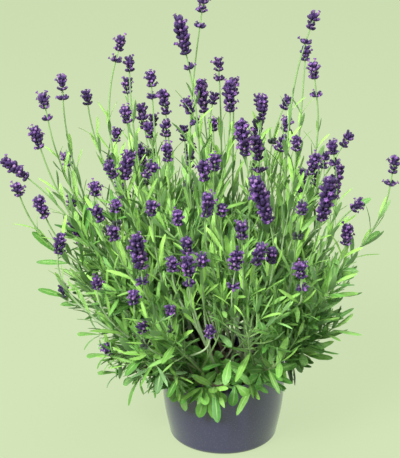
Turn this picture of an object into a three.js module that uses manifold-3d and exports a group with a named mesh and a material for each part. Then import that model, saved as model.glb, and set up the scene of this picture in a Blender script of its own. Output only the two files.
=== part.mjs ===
// Potted lavender: a plain tapered pot filled with compost, with leafy branches and
// flowering sprays that stand in holes in the compost.
// Millimetres, +Z up. The origin is the centre of the pot's flat underside.

import * as THREE from 'three';
import { mergeVertices } from 'three/addons/utils/BufferGeometryUtils.js';
import Module from 'manifold-3d';

const wasm = await Module();
wasm.setup();

const radians = (degrees) => THREE.MathUtils.degToRad(degrees);
const point = (x, y, z) => new THREE.Vector3(x, y, z);
const up = point(0, 0, 1);
const goldenAngle = Math.PI * (3 - Math.sqrt(5));

// Pot
const potHeight = 84;
const rimRadius = 65;
const footRadius = 52; // of the flat underside
const footCorner = 6;
const wallBow = 3; // how far the wall swells outwards, halfway up
const potWall = 3;
const potFloor = 4;
const potSides = 32;

// Compost, and the holes that the stems stand in
const soilTop = 75;
const soilSides = 24;
const soilEdge = soilTop - 2; // where the compost meets the wall
const wallHeights = [26, 50, soilEdge]; // corners of the bowed wall
const clodHeight = 0.9;
const clodWaves = [0.31, 0.27]; // radians per millimetre along X and Y
const holeDepth = 30;
const holeSpread = 50;
const holeSides = 5;
const fitGap = 0.3;

// Stems
const stemRise = 4; // height above the compost where stems start to lean
const stemSides = 3;
const woodRadius = 2.5;
const forkRadius = 1.6;
const stalkRadius = 1.35;
const shootRadius = 1.5;
const mainSteps = 4;
const sideSteps = 3;
const firstFork = 0.15; // share of the main stem below its first fork
const forkSpacing = 0.1;
const forkAim = 0.55; // how far a side stem turns from the main stem to its own end

// Flower heads
const headWidth = [10, 0.14]; // at no length, and per millimetre of length
const headFullness = [0.74, 0.26]; // at the ends, and added halfway
const hollowShare = 0.27;
const whorlSpacing = 8;
const calyxTips = 4;
const lowWhorl = { rise: 5, radius: 5.2, hollow: 2.6, collar: 9 };
const outwardLean = 1 / 500; // lean towards the side that the head stands on
const neckLength = 35; // straight stalk kept free below a head

// Leaves and the bush that they fill
const crown = point(0, 0, 80);
const leafyBranchCount = 16;
const sideShoots = 2;
const highestPolar = radians(10); // polar angles are measured off +Z
const lowestPolar = radians(84);
const lowBranch = radians(68); // branches below this hang over the rim
const bushReach = { top: 168, perDegree: 0.55, level: 52, bottom: 84, fall: 117, lopsided: 0.12 };
const leafThickness = 0.9;
const leafOutline = [[0.3, 0.8], [0.68, 1]]; // share along the leaf, share of its width
const leafPairs = [
  { share: 0.62, spread: 0.6, length: [36, 46] },
  { share: 0.985, spread: 0.42, length: [30, 38] },
];
const leafWidth = { high: [6, 7.5], low: [7.5, 9] };
const leafDroop = { high: [2, 8], low: [6, 14] };
const lowLeafLength = 0.8; // share of the length higher up

// Room kept between the stems, heads and leaves of different nodes
const clearance = 0.9;
const headClearance = 5;
const swingTries = 90;
const swingStep = 2.5;
const shootTries = 6;
const leafTries = 14;
const leafTurn = 0.35;
const shorterLeaf = 0.75;
const shortestEdge = 0.05;

// Flowering sprays. Each row is one flower head: x, y and z of its tip, its lean towards
// +X in degrees, its length, and how far below its tip a separate whorl sits (0 for none).
const sprayHeads = [
  [[-21, 10, 470, 8, 18, 30], [-45, -30, 456, -11, 37, 50], [4, -20, 390, -1, 30, 0],
    [-39, -10, 370, -24, 15, 24]],
  [[-103, 20, 427, 15, 15, 24], [-98, 60, 397, -1, 15, 0], [-60, 20, 341, 0, 18, 0]],
  [[88, 10, 453, 17, 18, 30], [84, -30, 412, -8, 17, 32], [70, -30, 337, 1, 13, 0],
    [31, -10, 332, -8, 25, 35]],
  [[83, 50, 410, 3, 14, 0], [67, 60, 355, 25, 14, 0], [129, 30, 325, 30, 17, 0],
    [62, 20, 325, 25, 19, 0]],
  [[-73, -20, 400, -3, 14, 24], [-97, -40, 371, -5, 17, 0], [-57, -50, 336, -3, 18, 0],
    [-94, -50, 328, 9, 29, 0]],
  [[-6, 60, 395, -3, 12, 20], [-24, 30, 379, -6, 33, 0], [-10, 80, 353, 12, 10, 0],
    [38, 100, 345, -4, 10, 0]],
  [[-165, 30, 384, -2, 14, 22], [-180, -10, 376, -9, 15, 25], [-165, 40, 300, -16, 14, 0],
    [-157, 0, 265, -10, 10, 0]],
  [[-102, 90, 367, -1, 16, 0], [-144, 70, 358, -7, 14, 0], [-75, 90, 327, 1, 11, 0],
    [-113, 60, 320, 1, 13, 0]],
  [[15, -50, 359, -8, 36, 0], [-22, -100, 334, -3, 20, 0], [-10, -70, 332, 5, 18, 0],
    [-69, -80, 326, 35, 18, 0]],
  [[-186, -40, 350, -14, 22, 0], [-114, -60, 320, -27, 17, 0], [-127, -60, 300, 4, 13, 0],
    [-125, -100, 289, -28, 17, 0]],
  [[106, -20, 330, -9, 13, 22], [172, 0, 308, 7, 18, 28], [136, -30, 271, 49, 13, 0],
    [120, -60, 256, 3, 21, 0]],
  [[88, -50, 326, 17, 22, 0], [99, -90, 314, 9, 46, 0], [71, -110, 295, 5, 9, 0],
    [70, -120, 241, -4, 18, 30]],
  [[27, -110, 320, -17, 49, 0], [-17, -130, 311, 7, 23, 0], [-4, -120, 297, 6, 9, 0],
    [-46, -120, 291, -4, 14, 0]],
  [[-220, -20, 312, -50, 31, 0], [-203, -60, 298, -13, 11, 0], [-182, -70, 288, -19, 22, 0],
    [-164, -40, 185, -11, 13, 0]],
  [[-70, -120, 301, -1, 14, 0], [-104, -110, 298, 1, 10, 0], [-107, -130, 280, -9, 15, 0],
    [-83, -150, 278, -5, 37, 52]],
  [[13, -140, 288, -3, 19, 0], [31, -140, 265, 12, 21, 0], [9, -155, 265, 5, 20, 40],
    [43, -125, 257, 4, 17, 0]],
  [[-37, -140, 272, 0, 17, 0], [-36, -165, 263, -2, 20, 30], [-23, -150, 259, 0, 10, 0],
    [-51, -140, 252, 0, 13, 0]],
  [[-159, -90, 257, 10, 20, 0], [-124, -110, 220, 0, 10, 0], [-119, -70, 131, -18, 9, 0]],
  [[-87, -140, 218, 1, 12, 0], [-53, -140, 202, -4, 8, 0], [-80, -140, 188, -2, 11, 0],
    [-16, -140, 182, -2, 10, 0]],
];

// The far side's sprays follow one rule: a bearing for each spray, and a range of polar
// angles for each of its heads, in degrees
const farBearings = [24, 58, 92, 125, 158];
const farPolars = [[12, 20], [22, 30], [32, 39], [40, 48]];
const farSpread = 15;
const farReach = [285, 325];
const farReachLoss = 1.6; // per degree of polar angle
const farLength = [12, 30];
const farLean = 1 / 9; // degrees per millimetre of X

function seededDraws(seed) {
  let state = seed;
  return (low, high) => {
    state = (state + 0x6d2b79f5) | 0;
    let mixed = Math.imul(state ^ (state >>> 15), 1 | state);
    mixed = (mixed + Math.imul(mixed ^ (mixed >>> 7), 61 | mixed)) ^ mixed;
    return low + (high - low) * (((mixed ^ (mixed >>> 14)) >>> 0) / 4294967296);
  };
}

// Direction from its polar angle off +Z and its bearing, both in radians
const direction = (polar, bearing) => point(
  Math.sin(polar) * Math.cos(bearing), Math.sin(polar) * Math.sin(bearing), Math.cos(polar));

function mix(a, b, share) {
  return a.clone().lerp(b, share);
}

// Closed solids

function toSolid(geometry) {
  const bare = new THREE.BufferGeometry();
  bare.setAttribute('position', geometry.getAttribute('position'));
  bare.setIndex(geometry.getIndex());
  const merged = mergeVertices(bare, 1e-4);
  const corners = merged.getIndex().array;
  const kept = [];
  for (let i = 0; i < corners.length; i += 3) {
    const [a, b, c] = corners.slice(i, i + 3);
    if (a !== b && b !== c && c !== a) kept.push(a, b, c);
  }
  return new wasm.Manifold(new wasm.Mesh({
    numProp: 3,
    vertProperties: new Float32Array(merged.getAttribute('position').array),
    triVerts: new Uint32Array(kept),
  }));
}

function toGeometry(solid) {
  const mesh = solid.simplify(shortestEdge).getMesh();
  const geometry = new THREE.BufferGeometry();
  geometry.setAttribute('position', new THREE.BufferAttribute(mesh.vertProperties, 3));
  geometry.setIndex(new THREE.BufferAttribute(mesh.triVerts, 1));
  geometry.computeVertexNormals();
  return geometry;
}

// Faces between two rings that may have different numbers of points
function stitch(first, firstCount, second, secondCount) {
  const faces = [];
  let i = 0;
  let j = 0;
  while (i < firstCount || j < secondCount) {
    const a = first + (i % firstCount);
    const b = second + (j % secondCount);
    if (j === secondCount || (i < firstCount && (i + 1) / firstCount <= (j + 1) / secondCount)) {
      i += 1;
      faces.push(a, first + (i % firstCount), b);
    } else {
      j += 1;
      faces.push(a, second + (j % secondCount), b);
    }
  }
  return faces;
}

// Skin over rings of points, each ring counter-clockwise seen from the end. An end with a
// point closes to it as a cone, and one without closes flat.
function loft(rings, startPoint, endPoint) {
  const points = rings.flat();
  const faces = [];
  let from = 0;
  rings.slice(1).forEach((ring, i) => {
    const to = from + rings[i].length;
    faces.push(...stitch(from, rings[i].length, to, ring.length));
    from = to;
  });
  const sides = points.length - from;
  if (startPoint) {
    rings[0].forEach((_, j) => faces.push(j, points.length, (j + 1) % rings[0].length));
    points.push(startPoint);
  } else {
    rings[0].slice(2).forEach((_, j) => faces.push(0, j + 2, j + 1));
  }
  if (endPoint) {
    for (let j = 0; j < sides; j += 1) faces.push(from + j, from + (j + 1) % sides, points.length);
    points.push(endPoint);
  } else {
    for (let j = 1; j < sides - 1; j += 1) faces.push(from, from + j, from + j + 1);
  }
  const geometry = new THREE.BufferGeometry().setFromPoints(points);
  geometry.setIndex(faces);
  return toSolid(geometry);
}

// A direction at right angles to the axis, turned from the level one by an angle
function across(axis, angle) {
  const level = new THREE.Vector3().crossVectors(up, axis);
  if (level.lengthSq() < 1e-6) level.set(1, 0, 0);
  return level.normalize().applyAxisAngle(axis, angle);
}

function ringAround(centre, axis, start, radii) {
  const side = new THREE.Vector3().crossVectors(axis, start);
  return radii.map((radius, j) => {
    const angle = (2 * Math.PI * j) / radii.length;
    return centre.clone()
      .addScaledVector(start, radius * Math.cos(angle))
      .addScaledVector(side, radius * Math.sin(angle));
  });
}

const roundSection = (radius) => Array(stemSides).fill(radius);

// Sections along a stem's path, tapering from the foot to the end
function stemSections(path, startRadius, endRadius) {
  return path.map((centre, i) => {
    const axis = path[Math.min(i + 1, path.length - 1)].clone().sub(path[Math.max(i - 1, 0)]);
    const radius = THREE.MathUtils.lerp(startRadius, endRadius, i / (path.length - 1));
    return { centre, axis: axis.normalize(), radii: roundSection(radius) };
  });
}

// The sections keep one facing, carried down from the end of the stem without twisting
function stemSolid(sections, endPoint) {
  let start = null;
  const rings = sections.toReversed().map(({ centre, axis, radii }) => {
    if (start === null) start = across(axis, 0);
    start = start.clone().addScaledVector(axis, -start.dot(axis)).normalize();
    return ringAround(centre, axis, start, radii);
  });
  return loft(rings.toReversed(), null, endPoint);
}

// A leaf is a narrow blade, flat above and keeled below, that arches along its length
function leafSolid(leaf) {
  const rings = leaf.stations.map(({ centre, axis, halfWidth }) => {
    const side = leaf.side.clone().addScaledVector(axis, -leaf.side.dot(axis)).normalize();
    const above = new THREE.Vector3().crossVectors(axis, side);
    return [
      centre.clone().addScaledVector(side, halfWidth),
      centre.clone().addScaledVector(side, -halfWidth),
      centre.clone().addScaledVector(above, -leafThickness),
    ];
  });
  return loft(rings, leaf.base, leaf.tip);
}

// A flower head is a stack of whorls round its stalk. The calyx tips of each whorl stand
// over the hollows of the one below.
function headSections(head) {
  return head.rings.map(({ along, tip, hollow, turned }) => {
    const star = Array.from({ length: 2 * calyxTips },
      (_, j) => ((j % 2 === 0) === turned ? tip : hollow));
    const centre = head.foot.clone().addScaledVector(head.axis, along);
    return { centre, axis: head.axis, radii: tip > hollow ? star : roundSection(tip) };
  });
}

// Clearance between the stems, heads and leaves of different nodes

const placed = [];

function segmentGap(a, b) {
  const u = b.to.clone().sub(b.from);
  const v = a.to.clone().sub(a.from);
  const w = a.from.clone().sub(b.from);
  const vv = v.dot(v);
  const uu = u.dot(u);
  const uv = u.dot(v);
  const uw = u.dot(w);
  const vw = v.dot(w);
  const clamp = (value) => Math.min(Math.max(value, 0), 1);
  const slant = vv * uu - uv * uv;
  let s = slant > 1e-9 ? clamp((uv * uw - uu * vw) / slant) : 0;
  const t = clamp((uv * s + uw) / uu);
  s = clamp((uv * t - vw) / vv);
  const gap = w.addScaledVector(v, s).addScaledVector(u, -t).length();
  return gap - a.radius - b.radius;
}

// Round-ended rods along a path; the radius is a function of the step
function capsules(path, radius) {
  return path.slice(1).map((to, i) => ({ from: path[i], to, radius: radius(i) }));
}

const taper = (startRadius, endRadius, steps) => (
  (i) => THREE.MathUtils.lerp(startRadius, endRadius, i / steps));

function apart(a, b) {
  const reach = a.radius + b.radius + clearance;
  return ['x', 'y', 'z'].some((k) => Math.min(a.from[k], a.to[k]) - reach > Math.max(b.from[k], b.to[k])
    || Math.min(b.from[k], b.to[k]) - reach > Math.max(a.from[k], a.to[k]));
}

function smallestGap(pieces, owner) {
  let gap = Infinity;
  placed.forEach((other) => {
    if (other.owner === owner) return;
    pieces.forEach((piece) => {
      if (!apart(piece, other.capsule)) gap = Math.min(gap, segmentGap(piece, other.capsule));
    });
  });
  return gap;
}

function settle(pieces, owner) {
  pieces.forEach((capsule) => placed.push({ capsule, owner }));
}

// What reaches out of the pot passes over its rim or hangs outside it
function clearOfPot(pieces) {
  return pieces.every(({ from, to, radius }) => [0, 0.25, 0.5, 0.75, 1].every((share) => {
    const spot = mix(from, to, share);
    const out = Math.hypot(spot.x, spot.y);
    const insideWall = rimRadius - potWall - 1;
    if (out > rimRadius + radius + 1) return true;
    if (out < insideWall - radius) return spot.z > soilTop + 1 + radius;
    return spot.z > potHeight + radius + 1;
  }));
}

// Flowering sprays

function headShape([x, y, z, lean, length, whorlDrop]) {
  const tip = point(x, y, z);
  const axis = point(Math.sin(radians(lean)), y * outwardLean, Math.cos(radians(lean))).normalize();
  const width = headWidth[0] + headWidth[1] * length;
  const whorls = Math.max(2, Math.round(length / whorlSpacing));
  const total = whorlDrop > 0 ? whorlDrop + lowWhorl.rise : length;
  const rings = [];
  if (whorlDrop > 0) {
    rings.push({ along: lowWhorl.rise, tip: lowWhorl.radius, hollow: lowWhorl.hollow, turned: false });
    rings.push({ along: lowWhorl.collar, tip: stalkRadius, hollow: stalkRadius });
    rings.push({ along: total - length - 1, tip: stalkRadius, hollow: stalkRadius });
  }
  for (let i = whorls - 1; i >= 0; i -= 1) {
    const depth = (i + 0.55) / whorls;
    const fullness = headFullness[0] + headFullness[1] * Math.sin(Math.PI * Math.min(1, depth + 0.1));
    rings.push({
      along: total - depth * length,
      tip: 0.5 * width * fullness,
      hollow: hollowShare * width,
      turned: i % 2 === 0,
    });
  }
  const foot = tip.clone().addScaledVector(axis, -total);
  const neck = foot.clone().addScaledVector(axis, -neckLength);
  const body = [
    { from: foot, to: tip, radius: width / 2 },
    { from: neck, to: foot, radius: stalkRadius },
  ];
  return { tip, axis, foot, rings, body };
}

const nearSprays = sprayHeads.map((rows) => rows.map(headShape));
nearSprays.forEach((spray, owner) => spray.forEach((head) => settle(head.body, owner)));

// A head of the far side is drawn again until it stands clear of the heads already placed
function farHead(draw, lowPolar, highPolar, bearing) {
  let head = null;
  do {
    const polar = draw(lowPolar, highPolar);
    const turn = radians(bearing + draw(-farSpread, farSpread));
    const reach = draw(...farReach) - farReachLoss * polar;
    const tip = direction(radians(polar), turn).multiplyScalar(reach).add(crown);
    head = headShape([tip.x, tip.y, tip.z, tip.x * farLean, draw(...farLength), 0]);
  } while (smallestGap(head.body, -1) < headClearance);
  return head;
}

const farDraw = seededDraws(7);
const backSprays = farBearings.map((bearing, i) => farPolars.map(([lowPolar, highPolar]) => {
  const head = farHead(farDraw, lowPolar, highPolar, bearing);
  settle(head.body, nearSprays.length + i);
  return head;
}));
const heads = [...nearSprays, ...backSprays];

// Stem path from a start point to an end point, which it meets along the end direction.
// Its middle is swung aside, by the swing's length, to pass other stems.
function stemCurve(start, startDirection, end, endDirection, swing) {
  const reach = start.distanceTo(end);
  return new THREE.CubicBezierCurve3(
    start,
    start.clone().addScaledVector(startDirection, 0.33 * reach).add(swing),
    end.clone().addScaledVector(endDirection, -0.3 * reach).add(swing),
    end,
  );
}

// Stem path with the smallest swing, tried in a widening spiral, that clears what is placed,
// or the one that comes nearest to that
function clearPath(start, startDirection, end, endDirection, steps, radius, owner) {
  const chord = end.clone().sub(start).normalize();
  let best = null;
  for (let k = 0; k < swingTries; k += 1) {
    const swing = across(chord, k * goldenAngle).multiplyScalar(swingStep * Math.sqrt(k));
    const path = stemCurve(start, startDirection, end, endDirection, swing).getPoints(steps);
    const pieces = capsules(path, radius);
    const gap = clearOfPot(pieces) ? smallestGap(pieces, owner) : -Infinity;
    if (best === null || gap > best.gap) best = { path, pieces, gap };
    if (gap >= clearance) break;
  }
  return best;
}

function placePath(best, owner) {
  settle(best.pieces, owner);
  return best.path;
}

// Spot and heading at a share of the way along a path of equal steps
function spotOn(path, share) {
  const step = Math.min(Math.floor(share * (path.length - 1)), path.length - 2);
  const [from, to] = [path[step], path[step + 1]];
  const spot = mix(from, to, share * (path.length - 1) - step);
  return { spot, axis: to.clone().sub(from).normalize() };
}

function rootedStart(base, end) {
  const outward = point(end.x - base.x, end.y - base.y, 0);
  const flare = Math.min(1, outward.length() / Math.max(end.z - base.z, 1));
  return mix(up, outward.normalize(), 0.3 + 0.3 * flare).normalize();
}

// Every stem's foot gets its own hole of a sunflower pattern. Leads are ranked by length for
// how far out the hole should be, then pairs swap holes while that brings both nearer.
function assignHoles(leads) {
  const count = leads.length;
  const ringRadius = (k) => holeSpread * Math.sqrt((k + 0.5) / count);
  const holes = leads.map((_, k) => point(
    ringRadius(k) * Math.cos(k * goldenAngle), ringRadius(k) * Math.sin(k * goldenAngle), 0));
  const order = leads.map((_, i) => i).sort((a, b) => leads[a].length() - leads[b].length() || a - b);
  const wanted = leads.map((lead, i) => lead.clone().setLength(ringRadius(order.indexOf(i))));
  const miss = (i, j) => wanted[i].distanceToSquared(holes[j]);
  let swapped = true;
  while (swapped) {
    swapped = false;
    for (let i = 0; i < count; i += 1) {
      for (let j = i + 1; j < count; j += 1) {
        if (miss(i, i) + miss(j, j) > miss(i, j) + miss(j, i) + 1e-6) {
          [holes[i], holes[j]] = [holes[j], holes[i]];
          swapped = true;
        }
      }
    }
  }
  return holes.map((hole) => hole.setZ(soilTop + stemRise));
}

// Leafy branches

// How far the leafy part reaches from the crown: a dome that draws in below
function envelopeReach(polar, bearing) {
  const degrees = THREE.MathUtils.radToDeg(polar);
  const { top, perDegree, level, bottom, fall, lopsided } = bushReach;
  const below = THREE.MathUtils.clamp((degrees - level) / (bottom - level), 0, 1);
  const reach = top + perDegree * Math.min(degrees, level) - fall * below;
  return reach * (1 - lopsided * Math.cos(bearing));
}

// Branches spread evenly over the dome
const branches = Array.from({ length: leafyBranchCount }, (_, i) => {
  const share = (i + 0.5) / leafyBranchCount;
  const level = THREE.MathUtils.lerp(Math.cos(highestPolar), Math.cos(lowestPolar), share);
  return { polar: Math.acos(level), bearing: i * goldenAngle };
});

function branchTip(polar, bearing) {
  return direction(polar, bearing).multiplyScalar(envelopeReach(polar, bearing)).add(crown);
}

const tips = [
  ...heads.map((spray) => {
    const mean = point(0, 0, 0);
    spray.forEach((head) => mean.addScaledVector(head.tip, 1 / spray.length));
    return mean;
  }),
  ...branches.map(({ polar, bearing }) => branchTip(polar, bearing)),
];
const middle = point(0, 0, 0);
tips.forEach((tip) => middle.addScaledVector(tip, 1 / tips.length));
const feet = assignHoles(tips.map((tip) => tip.clone().sub(middle).setZ(0)));

function footEnd(foot) {
  return point(foot.x, foot.y, soilTop - holeDepth + fitGap);
}

const sprays = heads.map((spray, owner) => {
  const foot = feet[owner];
  const [first, ...others] = spray;
  const start = rootedStart(foot, first.foot);
  const radius = taper(woodRadius, stalkRadius, mainSteps + 1);
  const best = clearPath(foot, start, first.foot, first.axis, mainSteps, radius, owner);
  const main = placePath(best, owner);
  return { foot, first, main, others, owner };
});

const sideStalks = sprays.map(({ main, others, owner }) => others.map((head, k) => {
  const { spot, axis } = spotOn(main, firstFork + forkSpacing * k);
  const leave = mix(axis, head.foot.clone().sub(spot).normalize(), forkAim).normalize();
  const radius = taper(forkRadius, stalkRadius, sideSteps);
  const best = clearPath(spot, leave, head.foot, head.axis, sideSteps, radius, owner);
  return { head, path: placePath(best, owner) };
}));

function stalkWithHead(path, startRadius, head) {
  const sections = stemSections(path, startRadius, stalkRadius);
  return stemSolid([...sections, ...headSections(head)], head.tip);
}

function sprayGeometry({ foot, first, main }, sides) {
  let solid = stalkWithHead([footEnd(foot), ...main], woodRadius, first);
  sides.forEach(({ head, path }) => {
    solid = solid.add(stalkWithHead(path, forkRadius, head));
  });
  return toGeometry(solid);
}

// A leaf's shape: its spine arches from the base to a tip that hangs by the droop
function leafShape(base, heading, side, length, width, droop) {
  const tip = base.clone().addScaledVector(heading, length).addScaledVector(up, -droop);
  const middle = base.clone().addScaledVector(heading, 0.5 * length).addScaledVector(up, 0.15 * droop);
  const spine = new THREE.QuadraticBezierCurve3(base, middle, tip);
  const stations = leafOutline.map(([share, fullness]) => ({
    centre: spine.getPoint(share),
    axis: spine.getTangent(share),
    halfWidth: 0.5 * width * fullness,
  }));
  const path = [spine.getPoint(0.5 * leafOutline[0][0]), ...stations.map(({ centre }) => centre), tip];
  return { base, tip, side, stations, body: capsules(path, () => 0.5 * width) };
}

// The leaf is turned about its stem, or made shorter, until it clears its neighbours
function placeLeaf(path, share, turn, spread, length, width, droop, owner) {
  const { spot, axis } = spotOn(path, share);
  for (let k = 0; k < leafTries; k += 1) {
    const angle = turn + leafTurn * Math.ceil(k / 2) * (k % 2 === 0 ? 1 : -1);
    const size = k < leafTries / 2 ? length : shorterLeaf * length;
    const heading = mix(axis, across(axis, angle), spread).normalize();
    const side = new THREE.Vector3().crossVectors(heading, up).normalize();
    const leaf = leafShape(spot, heading, side, size, width, droop);
    if (clearOfPot(leaf.body) && smallestGap(leaf.body, owner) >= clearance) {
      settle(leaf.body, owner);
      return leaf;
    }
  }
  return null;
}

// A side shoot's end is drawn again, and its fork moved up, until its path clears the rest
function growSideShoot(main, k, { polar, bearing }, upturned, draw, owner) {
  const centre = direction(polar, bearing);
  const radius = taper(forkRadius, shootRadius, sideSteps);
  for (let tries = 0; tries < shootTries; tries += 1) {
    const { spot, axis } = spotOn(main, firstFork + forkSpacing * (k + 0.4 * tries));
    const swing = bearing + (2 * Math.PI * (k + draw(-0.2, 0.2))) / sideShoots;
    const opening = Math.tan(radians(draw(16, 24)));
    const heading = centre.clone().addScaledVector(across(centre, swing), opening).normalize();
    const sidePolar = Math.min(Math.acos(heading.z), lowestPolar);
    const tip = branchTip(sidePolar, Math.atan2(heading.y, heading.x));
    tip.sub(crown).multiplyScalar(draw(0.8, 0.97)).add(crown);
    const leave = mix(axis, tip.clone().sub(spot).normalize(), forkAim).normalize();
    const best = clearPath(spot, leave, tip, upturned(tip), sideSteps, radius, owner);
    if (best.gap >= clearance) return placePath(best, owner);
  }
  return null;
}

function growBranch(branch, index) {
  const owner = sprays.length + index;
  const foot = feet[owner];
  const draw = seededDraws(100 + index);
  const low = branch.polar > lowBranch;
  const tip = branchTip(branch.polar, branch.bearing);
  const rise = low ? 0.05 : 0.35;
  const upturned = (target) => mix(target.clone().sub(crown).normalize(), up, rise).normalize();
  const radius = taper(woodRadius, shootRadius, mainSteps + 1);
  const best = clearPath(foot, rootedStart(foot, tip), tip, upturned(tip), mainSteps, radius, owner);
  const main = placePath(best, owner);
  const shoots = [main];
  for (let k = 0; k < sideShoots; k += 1) {
    const shoot = growSideShoot(main, k, branch, upturned, draw, owner);
    if (shoot) shoots.push(shoot);
  }
  return { owner, foot, low, shoots, draw };
}

const grown = branches.map(growBranch);

// Leaves stand in pairs, each pair a quarter turn from the last
function growLeaves({ owner, low, shoots, draw }) {
  const kind = low ? 'low' : 'high';
  const leaves = [];
  shoots.forEach((path) => {
    const turn = draw(0, Math.PI);
    leafPairs.forEach(({ share, spread, length }, pair) => {
      const size = draw(...length) * (low ? lowLeafLength : 1);
      const width = draw(...leafWidth[kind]);
      [0, Math.PI].forEach((opposite) => {
        const droop = draw(...leafDroop[kind]);
        const angle = turn + opposite + (pair * Math.PI) / 2;
        const leaf = placeLeaf(path, share, angle, spread, size, width, droop, owner);
        if (leaf) leaves.push(leaf);
      });
    });
  });
  return leaves;
}

const foliage = grown.map(growLeaves);

function branchGeometry({ foot, shoots }, leaves) {
  const [main, ...others] = shoots;
  let solid = stemSolid(stemSections([footEnd(foot), ...main], woodRadius, shootRadius));
  others.forEach((path) => {
    solid = solid.add(stemSolid(stemSections(path, forkRadius, shootRadius)));
  });
  leaves.forEach((leaf) => {
    solid = solid.add(leafSolid(leaf));
  });
  return toGeometry(solid);
}

// Pot and compost

const wallRun = potHeight - potWall / 2 - footCorner;
const wallLean = (rimRadius - footRadius - footCorner) / wallRun;

// Radius of the pot's outer wall at a height
function outerRadius(z) {
  const bow = wallBow * Math.sin((Math.PI * (z - footCorner)) / wallRun);
  return footRadius + footCorner + wallLean * (z - footCorner) + bow;
}

const innerRadius = (z) => outerRadius(z) - potWall;

function spin(outline, sides) {
  return new THREE.LatheGeometry(outline.getPoints(2), sides).rotateX(Math.PI / 2);
}

function potGeometry() {
  const lip = potWall / 2;
  const outline = new THREE.Path();
  outline.moveTo(0, 0);
  outline.lineTo(footRadius, 0);
  outline.absarc(footRadius, footCorner, footCorner, -Math.PI / 2, 0, false);
  wallHeights.forEach((z) => outline.lineTo(outerRadius(z), z));
  outline.absarc(rimRadius - lip, potHeight - lip, lip, 0, Math.PI, false);
  wallHeights.toReversed().forEach((z) => outline.lineTo(innerRadius(z), z));
  outline.lineTo(innerRadius(footCorner), footCorner);
  outline.lineTo(innerRadius(footCorner) - footCorner + potFloor, potFloor);
  outline.lineTo(0, potFloor);
  return toGeometry(toSolid(spin(outline, potSides)));
}

function soilGeometry() {
  const low = potFloor + fitGap;
  const soilRadius = (z) => innerRadius(z) * Math.cos(Math.PI / potSides) - fitGap;
  const corner = soilRadius(footCorner);
  const outline = new THREE.Path();
  outline.moveTo(0, low);
  outline.lineTo(corner - footCorner + potFloor, low);
  outline.lineTo(corner, footCorner + fitGap);
  wallHeights.forEach((z) => outline.lineTo(soilRadius(z), z));
  outline.lineTo(0.75 * soilRadius(soilEdge), soilTop - 1);
  outline.lineTo(0.4 * soilRadius(soilEdge), soilTop - 1);
  outline.lineTo(0, soilTop);
  const geometry = spin(outline, soilSides);
  const spots = geometry.getAttribute('position');
  for (let i = 0; i < spots.count; i += 1) {
    const x = spots.getX(i);
    const y = spots.getY(i);
    if (spots.getZ(i) > soilTop - 1.5) {
      const clod = clodHeight * Math.sin(clodWaves[0] * x + 1) * Math.cos(clodWaves[1] * y);
      spots.setZ(i, spots.getZ(i) + clod);
    }
  }
  let solid = toSolid(geometry);
  feet.forEach((foot) => {
    const bottom = point(foot.x, foot.y, soilTop - holeDepth);
    const top = point(foot.x, foot.y, potHeight);
    const radius = (woodRadius + fitGap) / Math.cos(Math.PI / holeSides);
    const rings = [bottom, top].map((centre) => ringAround(centre, up, point(1, 0, 0),
      Array(holeSides).fill(radius)));
    solid = solid.subtract(loft(rings));
  });
  return toGeometry(solid);
}

// The scene graph

const slate = new THREE.MeshStandardMaterial({ color: 0x5c6274, roughness: 0.4 });
const earth = new THREE.MeshStandardMaterial({ color: 0x2a211b, roughness: 0.95 });
const leafGreen = new THREE.MeshStandardMaterial({ color: 0x5f9c42, roughness: 0.6 });
const violet = new THREE.MeshStandardMaterial({ color: 0x4a3480, roughness: 0.7 });

const lavender = new THREE.Group();

function addPart(name, geometry, material) {
  const mesh = new THREE.Mesh(geometry, material);
  mesh.name = name;
  lavender.add(mesh);
}

addPart('pot', potGeometry(), slate);
addPart('compost', soilGeometry(), earth);
sprays.forEach((spray, i) => {
  addPart(`flowering_spray_${i + 1}`, sprayGeometry(spray, sideStalks[i]), violet);
});
grown.forEach((branch, i) => {
  addPart(`leafy_branch_${i + 1}`, branchGeometry(branch, foliage[i]), leafGreen);
});

export default lavender;
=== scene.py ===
# Potted lavender in flower: a glazed pot of compost, leafy shoots, and stalks with violet heads.
# Sizes are metres unless a name or note says millimetres. +Z is up and the pot stands on the origin.

import math

import bmesh
import bpy
import numpy as np
from mathutils import Matrix, Vector


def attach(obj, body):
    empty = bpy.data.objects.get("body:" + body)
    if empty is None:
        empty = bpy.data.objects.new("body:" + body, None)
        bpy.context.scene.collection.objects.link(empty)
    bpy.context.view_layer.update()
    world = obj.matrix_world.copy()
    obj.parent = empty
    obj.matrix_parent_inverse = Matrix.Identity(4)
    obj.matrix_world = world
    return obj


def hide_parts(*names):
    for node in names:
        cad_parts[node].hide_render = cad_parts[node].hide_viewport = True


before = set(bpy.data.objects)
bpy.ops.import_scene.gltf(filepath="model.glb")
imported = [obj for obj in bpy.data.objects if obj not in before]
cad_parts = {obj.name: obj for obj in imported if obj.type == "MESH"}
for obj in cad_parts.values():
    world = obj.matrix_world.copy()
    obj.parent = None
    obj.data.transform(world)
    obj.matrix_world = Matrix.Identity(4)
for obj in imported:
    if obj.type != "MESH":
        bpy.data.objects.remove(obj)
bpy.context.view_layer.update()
print("frame loaded,", len(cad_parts), "nodes")

millimetre = 0.001
goldenAngle = math.pi * (3 - math.sqrt(5))
upward = np.array([0.0, 0.0, 1.0])

# Where every stem, head and leaf stands, in millimetres.

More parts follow.
